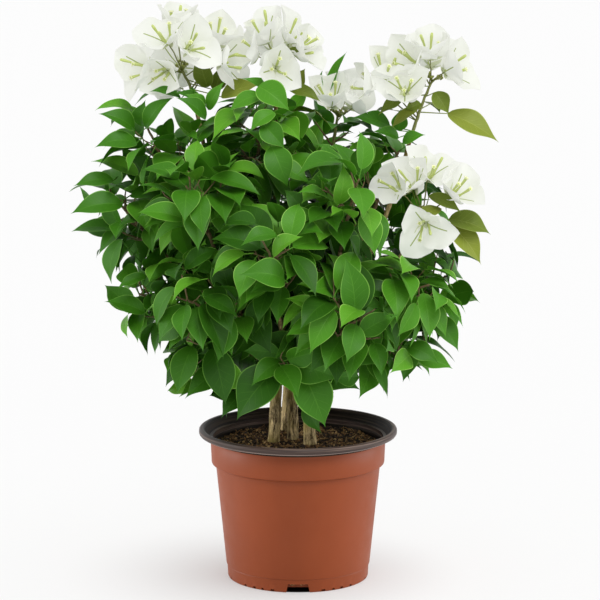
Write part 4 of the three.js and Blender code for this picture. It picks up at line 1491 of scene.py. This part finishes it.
# A true flower: its length, the shares of it where its radii are given, the radii of its tip while
# it is closed, those of its star's lobes and notches, and how often it is open.
TUBE_FLOWER = 21
TUBE_SHARES = np.array([0, 0.05, 0.14, 0.3, 0.45, 0.6, 0.8, 0.92, 1])
TUBE_RADII = [0.5, 0.95, 1.3, 1.15, 0.85, 0.95, 1.25, 1.35, 1.15]
TUBE_SIDES = 8
CLOSED_RADII = [1.2, 1.1, 0.3]
STAR_RADII = (2.5, 1.375)
STAR_POINTS = 10
OPENED = 0.7

# The small buds round the end of a spray's stem: how many, how far they stand off, the radii of
# their stalks and their own.
BUDS = 16
BUD_REACH = (4, 11)
BUD_STALK_RADII = [0.5, 0.35, 0.35]
BUD_RADII = np.array([1.1, 1.1, 2])


def add_flower(shape, at, way, length, opened, rng):
    """A true flower: a slim green tube, swollen at its foot, that opens in a small cream star."""
    bow = spoke(way, rng.uniform(0, 6.28)) * rng.uniform(0.3, 1.6)
    curve = quadratic(at, at + way * length / 2 + bow, at + way * length, 10)
    shape.add(*tube(curve.at(TUBE_SHARES), TUBE_RADII, TUBE_SIDES), 0)
    tip, head = curve.at(1), curve.heading(1)
    if not opened:
        shape.add(*tube([tip - head, tip + head * 0.6, tip + head * 1.2], CLOSED_RADII, TUBE_SIDES), 0)
        return
    side = spoke(head, rng.uniform(0, 6.28))
    other = cross(head, side)
    angle = angles_round(STAR_POINTS)
    across, up = np.cos(angle), np.sin(angle)
    out = np.resize(STAR_RADII, STAR_POINTS)
    star = tip + head * 0.6 + np.outer(across * out, side) + np.outer(up * out, other)
    throat = tip - head * 0.4 + np.outer(across, side) + np.outer(up, other)
    points = np.concatenate([throat, star, star - head * 0.35, throat - head * 0.5])
    shape.add(points, closed_faces(4, STAR_POINTS), 1)


def lump(rng, radii, at):
    """A small rough lump: an icosahedron pulled out of true, turned at random."""
    points = ICOSAHEDRON * radii * rng.uniform(0.75, 1.2, (12, 1))
    turn = np.linalg.qr(rng.normal(size=(3, 3)))[0]
    return points @ turn.T + at, [ICOSAHEDRON_FACES]


GOLDEN = (1 + math.sqrt(5)) / 2
ICOSAHEDRON = np.array([
    (-1, GOLDEN, 0), (1, GOLDEN, 0), (-1, -GOLDEN, 0), (1, -GOLDEN, 0),
    (0, -1, GOLDEN), (0, 1, GOLDEN), (0, -1, -GOLDEN), (0, 1, -GOLDEN),
    (GOLDEN, 0, -1), (GOLDEN, 0, 1), (-GOLDEN, 0, -1), (-GOLDEN, 0, 1),
]) / math.sqrt(1 + GOLDEN**2)
ICOSAHEDRON_FACES = np.array([
    (0, 11, 5), (0, 5, 1), (0, 1, 7), (0, 7, 10), (0, 10, 11), (1, 5, 9), (5, 11, 4), (11, 10, 2),
    (10, 7, 6), (7, 1, 8), (3, 9, 4), (3, 4, 2), (3, 2, 6), (3, 6, 8), (3, 8, 9), (4, 9, 5),
    (2, 4, 11), (6, 2, 10), (8, 6, 7), (9, 8, 1),
])


# The pieces of the plant.

BARK = bark("bark", (244, 216, 158), (62, 47, 20), (134, 117, 50))
TWIG_BARK = plain("twig bark", (104, 88, 54), 0.75)
SHOOT = plain("green shoot", (122, 126, 66), 0.6)
GREENS = {
    YOUNG: ((88, 149, 35), (106, 162, 51), (148, 196, 88)),
    FRESH: ((71, 131, 27), (87, 145, 42), (128, 179, 74)),
    GREEN: ((57, 112, 20), (73, 128, 34), (110, 162, 62)),
    DEEP: ((41, 86, 13), (56, 103, 24), (90, 140, 48)),
    OLIVE: ((101, 119, 38), (122, 137, 58), (140, 153, 78)),
    GOLD: ((124, 137, 47), (142, 153, 66), (158, 168, 90)),
}
LEAF_MATERIALS = [
    plain(f"{GREEN_NAMES[tint]} {part}", colour, 0.45, Specular_IOR_Level=0.18)
    for tint, colours in GREENS.items()
    for part, colour in zip(("leaf", "rib", "edge"), colours)
]
BRACT_MATERIALS = [
    # The white paper glows with painted light, which stands in for light let through from behind.
    plain(
        "bract", (209, 211, 204), 0.7, Specular_IOR_Level=0.2, Emission_Color=(1, 1, 0.96, 1),
        Emission_Strength=BRACT_PAINTED_GLOW,
    ),
    plain("bract foot", (218, 224, 192), 0.7, Specular_IOR_Level=0.2),
    plain("bract rib", (168, 182, 116), 0.7, Specular_IOR_Level=0.2),
]
FLOWER_MATERIALS = [
    plain("flower tube", (188, 201, 118), 0.5),
    plain("flower star", (238, 241, 196), 0.55),
    plain("bud", (136, 142, 66), 0.6),
]


# The meshes of stems and boughs: their rows and sides, the share of a stem that rounds its top, the
# least that its top is narrowed to, and how far its flared foot goes into the soil.
STEM_ROWS = 170
STEM_SIDES = 60
STEM_CAP = 0.025
STEM_CAP_LEAST = 0.02
STEM_SINK = 2
BOUGH_STEP = 1.6
FEWEST_BOUGH_ROWS = 24
BOUGH_SIDES = 18


def bark_piece(node, curve, radii, sides, relief, lowest=-math.inf):
    """A limb whose bark stands out by relief, a function of its points, down to a lowest level."""
    shares = np.linspace(0, 1, len(radii))
    points, faces = tube(curve.at(shares), radii, sides)
    out = points - np.repeat(curve.at(shares), sides, axis=0)
    out /= np.linalg.norm(out, axis=1)[:, None]
    points = points + out * relief(points)[:, None]
    points[:, 2] = np.maximum(points[:, 2], lowest)
    shape = Shape()
    shape.add(points, faces)
    return shape.piece(f"{node}_bark", [BARK], "bark", node)


def stem_piece(name):
    """Long fissures, a few knots and a root flare."""
    def relief(points):
        seed = len(name)
        lengthwise = noise(points * (0.75, 0.75, 0.1), seed)
        finer = noise(points * (1.9, 1.9, 0.32), seed + 1)
        knots = noise(points * (0.16, 0.16, 0.09), seed + 2)
        fissure = np.maximum(0, 1 - abs(lengthwise) / 0.16) + 0.5 * np.maximum(0, 1 - abs(finer) / 0.2)
        return 0.55 * knots + 0.22 * finer - 0.34 * fissure

    t = np.linspace(0, 1, STEM_ROWS)
    top = 1 - np.clip((t - 1 + STEM_CAP) / STEM_CAP, 0, 1) ** 2
    radii = stem_radius(name, t) * np.sqrt(np.maximum(top, STEM_CAP_LEAST))
    lowest = SOIL_TOP - STEM_SINK
    return bark_piece(f"stem_{name}", stem_curve(name), radii, STEM_SIDES, relief, lowest)


def bough_piece(mass):
    """A bough runs from inside its stem to its mass."""
    def relief(points):
        return 0.22 * noise(points * 0.22, 5) + 0.16 * noise(points * (1.1, 1.1, 0.5), 6)

    rows = max(FEWEST_BOUGH_ROWS, int(mass.bough.length / BOUGH_STEP))
    radii = bough_radius(np.linspace(0, 1, rows))
    return bark_piece(f"bough_{mass.name}", mass.bough, radii, BOUGH_SIDES, relief)


def twig_piece(mass):
    rng = growth_rng(mass.name + "twigs")
    shape = Shape()
    if mass.clusters:
        add_twig(shape, mass.axis, BOUGH_TIP_RADIUS, SPRAY_TIP_RADIUS, rng, 1)
        for stalk in mass.stalks:
            add_twig(shape, stalk, *CLUSTER_STALK_RADII, rng, 1)
    else:
        add_twig(shape, mass.axis.cut(mass.axis.used), BOUGH_TIP_RADIUS, TWIG_RADIUS * 0.8, rng)
    for twigs, start, end in (
        (mass.twigs, TWIG_RADIUS, TWIG_TIP_RADIUS), (mass.fine, FINE_TWIG_RADIUS, FINE_TWIG_TIP_RADIUS),
    ):
        for twig in twigs:
            if twig.used:
                add_twig(shape, twig.cut(twig.used), start, end, rng)
    return shape.piece(f"{mass.name}_twigs", [TWIG_BARK, SHOOT], "bark", mass.name)


def leaf_piece(mass):
    shape = Shape()
    for blade in mass.blades:
        add_leaf(shape, *blade)
    return shape.piece(f"{mass.name}_leaves", LEAF_MATERIALS, "leaf", mass.name)


def bract_piece(mass):
    shape = Shape()
    for points, _, _ in mass.bracts:
        add_bract(shape, points)
    return shape.piece(f"{mass.name}_paper", BRACT_MATERIALS, "bract", mass.name)


def flower_piece(mass):
    """The true flowers, one on the foot of each bract, and the small buds round the hub."""
    rng = growth_rng(mass.name + "flowers")
    shape = Shape()
    wide = len(BRACT_GRID.columns)
    for points, opens, out in mass.bracts:
        foot = points[1:-1].reshape(-1, wide, 3)[1, wide // 2]
        way = mix((opens, 1), (out, rng.uniform(0.1, 0.4)))
        add_flower(shape, foot, way, TUBE_FLOWER * rng.uniform(0.8, 1.1), rng.uniform() < OPENED, rng)
    for i in range(BUDS):
        way = mix((UP, 0.5), (spoke(mass.axis.heading(1), i * TURN), rng.uniform(0.5, 1)))
        length = rng.uniform(*BUD_REACH)
        tip = mass.hub + way * length
        shape.add(*tube([mass.hub, mass.hub + way * length / 2, tip], BUD_STALK_RADII, 5), 2)
        shape.add(*lump(rng, BUD_RADII, tip), 2)
    return shape.piece(f"{mass.name}_flowers", FLOWER_MATERIALS, "bract", mass.name)


for mass in MASSES:
    if not mass.clusters:
        grow_twigs(mass)
for mass in MASSES:
    if mass.clusters:
        grow_spray(mass)
for mass in MASSES:
    place_outline_leaves(mass)
for mass in MASSES[::-1]:
    grow_leaves(mass)
for mass in MASSES:
    fill_mass(mass)
fill_crown()
for mass in MASSES:
    grow_inner_leaves(mass)

STEM_PIECES = [stem_piece(name) for name in STEMS]
BRACT_PIECES = []
for mass in MASSES:
    bough_piece(mass)
    twig_piece(mass)
    leaf_piece(mass)
    if mass.clusters:
        BRACT_PIECES.append(bract_piece(mass))
        flower_piece(mass)


# The pot and its soil.

DRAIN_BEARINGS = [-90 + i * 360 / DRAINS for i in range(DRAINS)]


def facing(bearing):
    """The ways out and sideways from the pot's axis at a bearing."""
    turn = math.radians(bearing)
    return vec(math.cos(turn), math.sin(turn), 0), vec(-math.sin(turn), math.cos(turn), 0)


def pot_body():
    inside = BODY_TOP_RADIUS - WALL
    profile = [
        (0, 0), (BOSS_RADIUS - 0.5, 0), (BOSS_RADIUS, 0.5), (BOSS_RADIUS + 0.8, FLOOR_BOTTOM),
        (BASE_RADIUS - FOOT_WIDTH - 1, FLOOR_BOTTOM), (BASE_RADIUS - FOOT_WIDTH - 0.6, 0.4),
        (BASE_RADIUS - FOOT_WIDTH, 0), (BASE_RADIUS - 1.2, 0), (BASE_RADIUS - 0.4, 0.5),
        (BASE_RADIUS, 1.6), (BASE_RADIUS + 0.5, 10.6), (BASE_RADIUS + 0.7, 11), (BASE_RADIUS + 0.6, 11.3),
        (BASE_RADIUS + 1.1, 11.7), (BASE_RADIUS + 1.4, 12.6),
        (BODY_TOP_RADIUS - 0.2, COLLAR_BOTTOM - 3), (BODY_TOP_RADIUS - 0.1, COLLAR_BOTTOM - 1.6),
        (BODY_TOP_RADIUS + 0.5, COLLAR_BOTTOM - 0.9), (COLLAR_RADIUS - 1.8, COLLAR_BOTTOM - 0.2),
        (COLLAR_RADIUS - 1, COLLAR_BOTTOM + 0.3), (COLLAR_RADIUS - 0.75, COLLAR_BOTTOM + 1.2),
        (COLLAR_RADIUS - 0.1, COLLAR_TOP - 5), (COLLAR_RADIUS - 0.4, COLLAR_TOP - 4.2),
        (COLLAR_RADIUS - 0.2, COLLAR_TOP - 0.4), (COLLAR_RADIUS - 0.5, COLLAR_TOP),
        (COLLAR_RADIUS - WALL, COLLAR_TOP), (COLLAR_RADIUS - WALL - 0.3, COLLAR_BOTTOM + 0.4),
        (inside, COLLAR_BOTTOM - 1.2), (BASE_RADIUS - WALL - 0.2, FLOOR_TOP), (0, FLOOR_TOP),
    ]
    shape = Shape()
    shape.add(*lathe(profile))
    pot = shape.piece("pot_body", [terracotta_plastic()], "terracotta_plastic", "pot")
    cutter = Shape()
    for bearing in DRAIN_BEARINGS:
        add_box(cutter, bearing, DRAIN_WIDTH, DRAIN_WIDTH + 4, DRAIN_DEPTH, DRAIN_HEIGHT)
        for side in (-1, 1):
            for angle, width in zip(SLIT_ANGLES, SLIT_WIDTHS):
                add_box(cutter, bearing + side * angle, width, width, SLIT_DEPTH, SLIT_TOP, SLIT_FOOT)
    carve(pot, cutter.object("cutter"))
    soften(pot)
    return pot


def add_box(shape, bearing, top, bottom, depth, height, low=-2):
    """A box across the foot ring at a bearing, narrower at its top."""
    out, side = facing(bearing)
    points = [
        out * (BASE_RADIUS + far) + side * half * width / 2 + UP * high
        for high, width in ((low, bottom), (height, top))
        for far, half in ((-depth / 2, -1), (depth / 2, -1), (depth / 2, 1), (-depth / 2, 1))
    ]
    shape.add(np.array(points), [BOX_FACES])


BOX_FACES = np.array([
    (0, 3, 2, 1), (4, 5, 6, 7), (0, 1, 5, 4), (1, 2, 6, 5), (2, 3, 7, 6), (3, 0, 4, 7),
])


def carve(piece, cutter):
    """Cuts a cutter out of a piece for good."""
    cut = piece.modifiers.new("cut", "BOOLEAN")
    cut.operation, cut.solver, cut.object = "DIFFERENCE", "EXACT", cutter
    bpy.context.view_layer.update()
    shaped = bpy.data.meshes.new_from_object(piece.evaluated_get(bpy.context.evaluated_depsgraph_get()))
    piece.modifiers.clear()
    piece.data = shaped
    bpy.data.objects.remove(cutter)


def soften(piece, degrees=32):
    """Smooth shading that keeps the sharp edges sharp."""
    piece.data.polygons.foreach_set("use_smooth", np.ones(len(piece.data.polygons), bool))
    piece.data.set_sharp_from_angle(angle=math.radians(degrees))


# The fine rings inside the rim, and the strip of its profile that carries a painted highlight.
RIM_RINGS = 10
PAINTED_HIGHLIGHT_STRIP = 4


def pot_rim():
    sleeve = COLLAR_RADIUS - WALL - GAP
    ledge = COLLAR_TOP + GAP
    profile = [
        (sleeve - 0.3, COLLAR_BOTTOM + 1), (sleeve, ledge), (COLLAR_RADIUS + 1.4, ledge),
        (COLLAR_RADIUS + 3, ledge + 0.5), (RIM_RADIUS - 2.4, ledge + 1.5), (RIM_RADIUS - 0.8, ledge + 2.3),
        (RIM_RADIUS - 0.1, ledge + 3.3), (RIM_RADIUS, ledge + 4.4), (RIM_RADIUS - 0.1, POT_HEIGHT - 1.6),
        (RIM_RADIUS - 0.7, POT_HEIGHT - 0.7), (RIM_RADIUS - 1.7, POT_HEIGHT - 0.15),
        (RIM_RADIUS - 2.7, POT_HEIGHT), (RIM_RADIUS - 3.8, POT_HEIGHT - 0.3),
        (RIM_RADIUS - 4.7, POT_HEIGHT - 1), (RIM_RADIUS - 5.4, POT_HEIGHT - 2.2),
    ]
    inner_start = len(profile) - 3
    foot = (sleeve - SKIN, COLLAR_BOTTOM + 1)
    for i in range(RIM_RINGS + 1):
        slope = i / RIM_RINGS
        radius = (RIM_RADIUS - 5.7) * (1 - slope) + (sleeve - 0.6) * slope - (0.3 if i % 2 else 0)
        profile.append((radius, (POT_HEIGHT - 3) * (1 - slope) + SOIL_TOP * slope))
    profile.append((sleeve - 0.8, COLLAR_BOTTOM + 2))
    profile.append(foot)
    strips = np.arange(len(profile))
    # The inside faces of the rim take painted shade.
    inside = (strips >= inner_start) & (strips < len(profile) - 1)
    # A pale line along the lower edge of the roll: a painted highlight.
    painted_highlight = strips == PAINTED_HIGHLIGHT_STRIP
    shape = Shape()
    shape.add(*lathe(profile), np.repeat(inside + 2 * painted_highlight, POT_SIDES))
    materials = [
        dark_plastic("dark plastic", (47, 34, 29), (64, 48, 41), (116, 98, 88)),
        # The inside wall is a darker copy of the rim's plastic: painted shade inside the pot.
        dark_plastic("dark plastic inside", (20, 15, 11), (31, 24, 19), (64, 53, 45), specular=0.08),
        # The painted highlight along the lower edge of the roll.
        plain("worn edge", (166, 154, 146), 0.5),
    ]
    rim = shape.piece("pot_rim_roll", materials, "dark_plastic", "pot_rim")
    soften(rim, 50)
    return rim


# The soil's surface: how far it lies below the soil of the solids, and the heap in its middle.
SOIL_SINK = 2.2
SOIL_HEAP = 1.6
HEAP_REACH = 30


def soil_height(x, y):
    """The lumpy surface of the soil, heaped a little round the stems."""
    flat = np.stack([x, y, 0 * x], -1)
    rough = 1.3 * noise(flat * 0.09, 11) + 1.1 * noise(flat * 0.22, 12) + 0.7 * noise(flat * 0.8, 13)
    heap = SOIL_HEAP * np.exp(-(x**2 + y**2) / HEAP_REACH**2)
    return SOIL_TOP - SOIL_SINK + rough + heap


# How many bits the soil has, how far from the middle they lie, and how often they take each shade.
CRUMBS = 3300
CLODS = 380
FIBRES = 800
DRAIN_CRUMBS = 14
CRUMB_REACH = 70.5
CLOD_REACH = 68
FIBRE_TIPS = 71
CRUMB_SHADES = [0.46, 0.27, 0.17, 0.1]
CLOD_SHADES = [0.35, 0.4, 0.25]
FIBRE_SHADES = [0.3, 0.4, 0.3]
SOIL_SHADES = [(44, 31, 20), (84, 60, 36), (136, 102, 62), (184, 150, 100)]
SOIL_RINGS = 70
SOIL_SIDES = 200
SOIL_SEED = 41


def scattered(rng, count, reach):
    """Places on the soil, dealt out evenly as far as a reach from the middle."""
    out, angle = reach * np.sqrt(rng.uniform(size=count)), rng.uniform(0, 2 * math.pi, count)
    x, y = out * np.cos(angle), out * np.sin(angle)
    return np.stack([x, y, soil_height(x, y)], -1)


def drain_crumbs(rng):
    """Bits of soil that show at the top of each drain notch."""
    for bearing in DRAIN_BEARINGS:
        out, side = facing(bearing)
        for _ in range(DRAIN_CRUMBS):
            yield (
                out * (BASE_RADIUS - DRAIN_DEPTH / 2 + rng.uniform(0.2, 1)) + side * rng.uniform(-6.5, 6.5)
                + UP * rng.uniform(FLOOR_TOP, DRAIN_HEIGHT)
            )


def soil_fill():
    """The points and faces of the whole fill, down to the pot's floor."""
    collar = COLLAR_RADIUS - WALL - GAP - SKIN - 2 * GAP
    wall = BODY_TOP_RADIUS - WALL - GAP
    angle = angles_round(SOIL_SIDES)
    reach = np.linspace(0, collar, SOIL_RINGS + 1)[1:]
    x, y = np.outer(reach, np.cos(angle)).ravel(), np.outer(reach, np.sin(angle)).ravel()
    rings = [
        np.stack([x, y, soil_height(x, y)], -1), ring(collar, COLLAR_BOTTOM + 4, SOIL_SIDES),
        ring(wall - 0.6, COLLAR_BOTTOM - 2, SOIL_SIDES),
        ring(BASE_RADIUS - WALL - 3, FLOOR_TOP + GAP, SOIL_SIDES),
    ]
    points = np.concatenate([*rings, [vec(0, 0, soil_height(vec(0), vec(0))[0])]])
    sides, _, base = closed_faces(SOIL_RINGS + len(rings) - 1, SOIL_SIDES)
    edge = np.arange(SOIL_SIDES)
    fan = np.stack([np.full(SOIL_SIDES, len(points) - 1), edge, np.roll(edge, -1)], -1)
    return points, [sides[:, ::-1], fan, base[:, ::-1]]


def add_fibre(shape, at, rng):
    at = at + UP * rng.uniform(0.3, 1.6)
    way = unit(rng.normal(size=3) * (1, 1, 0.3))
    bow = rng.normal(size=3) * (1.2, 1.2, 0.5)
    half = way * rng.uniform(1.5, 5)
    curve = quadratic(at - half, at + bow, at + half, 4)
    points, faces = tube(curve.points, rng.uniform(0.12, 0.3), 3)
    if np.hypot(points[:, 0], points[:, 1]).max() < FIBRE_TIPS:
        shape.add(points, faces, rng.choice([1, 2, 3], p=FIBRE_SHADES))


def soil_piece():
    """The fill, with crumbs, clods and fibres on it."""
    shape = Shape()
    shape.add(*soil_fill())
    rng = np.random.RandomState(SOIL_SEED)
    for at in scattered(rng, CRUMBS, CRUMB_REACH):
        size = rng.uniform(0.4, 1.2) * rng.uniform(1, 2)
        radii = size * vec(rng.uniform(0.6, 1.3), rng.uniform(0.5, 1), rng.uniform(0.4, 0.9))
        shape.add(*lump(rng, radii, at + UP * size * 0.35), rng.choice(4, p=CRUMB_SHADES))
    for at in scattered(rng, CLODS, CLOD_REACH):
        size = rng.uniform(1.5, 2.8)
        shape.add(*lump(rng, size * rng.uniform(0.6, 1.1, 3), at), rng.choice(3, p=CLOD_SHADES))
    for at in drain_crumbs(rng):
        shape.add(*lump(rng, rng.uniform(0.5, 1.1, 3), at), rng.choice([1, 2, 3]))
    for at in scattered(rng, FIBRES, CLOD_REACH):
        add_fibre(shape, at, rng)
    materials = [plain(f"soil {i}", shade, 0.95) for i, shade in enumerate(SOIL_SHADES)]
    return shape.piece("soil_mix", materials, "soil", "soil", smooth=False)


POT_PIECES = [pot_body(), pot_rim(), soil_piece()]


# The studio: a pale floor, soft lights and the photograph's view.

FLOOR_RADIUS = 30000
UNDER_POT = BASE_RADIUS - FOOT_WIDTH
FLOOR_COLOUR = (193, 193, 193)
FLOOR_GLOW = 0.345
# The colour of the disc under the pot: painted shade where the pot stands.
PAINTED_POT_SHADE = (44, 39, 36)

# The sky's light near the horizon and above, and the rises between which it changes.
LOW_LIGHT = 0.8
HIGH_LIGHT = 0.1
LOW_RISE = 0.25
HIGH_RISE = 0.6

# The camera's place and aim, in metres.
EYE = Vector((0.0017, -2.8, 0.761))
AIM = Vector((0.0017, 0, 0.242))
LENS = 200
SENSOR = 36
FURTHEST_SEEN = 200


def floor():
    """A pale floor, with a dark disc of painted shade where the pot stands on it."""
    shape = Shape()
    shape.add(
        np.concatenate([ring(UNDER_POT, 0), ring(FLOOR_RADIUS, 0)]),
        [np.arange(POT_SIDES)[None], ring_faces(2, POT_SIDES)[:, ::-1]], [0] + [1] * POT_SIDES,
    )
    glow = {"Emission_Color": (1, 1, 1, 1), "Emission_Strength": FLOOR_GLOW}
    made = shape.object("floor", [
        plain("floor under the pot", PAINTED_POT_SHADE, 0.9, Specular_IOR_Level=0),
        plain("floor", FLOOR_COLOUR, 0.9, Specular_IOR_Level=0, **glow),
    ])
    return made


def only(name, *objects, state="INCLUDE"):
    """A collection by which a light shines on, or is blocked by, only these or all but these."""
    chosen = bpy.data.collections.new(name)
    for one in objects:
        chosen.objects.link(one)
    for entry in chosen.collection_objects:
        entry.light_linking.link_state = state
    return chosen


def turn_to(made, way, axis):
    """Points an axis of an object along a way."""
    made.rotation_mode = "QUATERNION"
    made.rotation_quaternion = way.to_track_quat(axis, "Y")


def sun(name, bearing, rise, strength, width, lights=None, blockers=None):
    """A broad soft light from a bearing, in degrees, with 0 at the viewer and 90 to the right."""
    light = bpy.data.lights.new(name, "SUN")
    light.energy, light.angle = strength, math.radians(width)
    made = linked(name, light)
    side, up = math.radians(bearing), math.radians(rise)
    towards = Vector((math.sin(side) * math.cos(up), -math.cos(side) * math.cos(up), math.sin(up)))
    turn_to(made, towards, "Z")
    made.light_linking.receiver_collection = lights
    made.light_linking.blocker_collection = blockers


def sky():
    """A white sky that is brighter low down than above."""
    world = bpy.data.worlds.new("studio")
    world.use_nodes = True
    nodes = Nodes(world, "Background")
    way = nodes.add("TexCoord").outputs["Generated"]
    rise = nodes.add("SeparateXYZ", {"Vector": way}).outputs["Z"]
    nodes.shader.inputs["Color"].default_value = (1, 1, 1, 1)
    nodes.link(nodes.range(rise, LOW_RISE, HIGH_RISE, LOW_LIGHT, HIGH_LIGHT), "Strength")
    bpy.context.scene.world = world


def studio_lights(ground):
    plant = only("all but the floor", ground, state="EXCLUDE")
    pot = only("the pot", *POT_PIECES)
    sun("sky light", 0, 90, 1.2, 140, plant)
    darker = only("all but the floor and the bracts", ground, *BRACT_PIECES, state="EXCLUDE")
    sun("key light", 22, 54, 1.9, 36, darker)
    sun("left light", -85, 16, 0.8, 40, darker)
    sun("right light", 85, 16, 0.8, 40, darker)
    sun("key light on the bracts", 22, 54, 1.3, 80, only("the bracts", *BRACT_PIECES))
    body = only("the body of the pot", POT_PIECES[0])
    sun("left light on the pot", -98, 5, 2.4, 30, body)
    sun("right light on the pot", 98, 5, 1.9, 30, body)
    sun("light on the stems", -55, 8, 1.1, 20, only("the stems", *STEM_PIECES))
    sun("floor light", 70, 80, 3.05, 72, only("the floor", ground), pot)


def photograph_view():
    scene = bpy.context.scene
    scene.view_settings.view_transform = "Standard"
    scene.view_settings.look = "None"
    camera = bpy.data.cameras.new("camera")
    camera.lens, camera.sensor_width, camera.clip_end = LENS, SENSOR, FURTHEST_SEEN
    eye = linked("camera", camera)
    eye.location = EYE
    turn_to(eye, AIM - EYE, "-Z")
    scene.camera = eye


studio_lights(floor())
sky()
photograph_view()
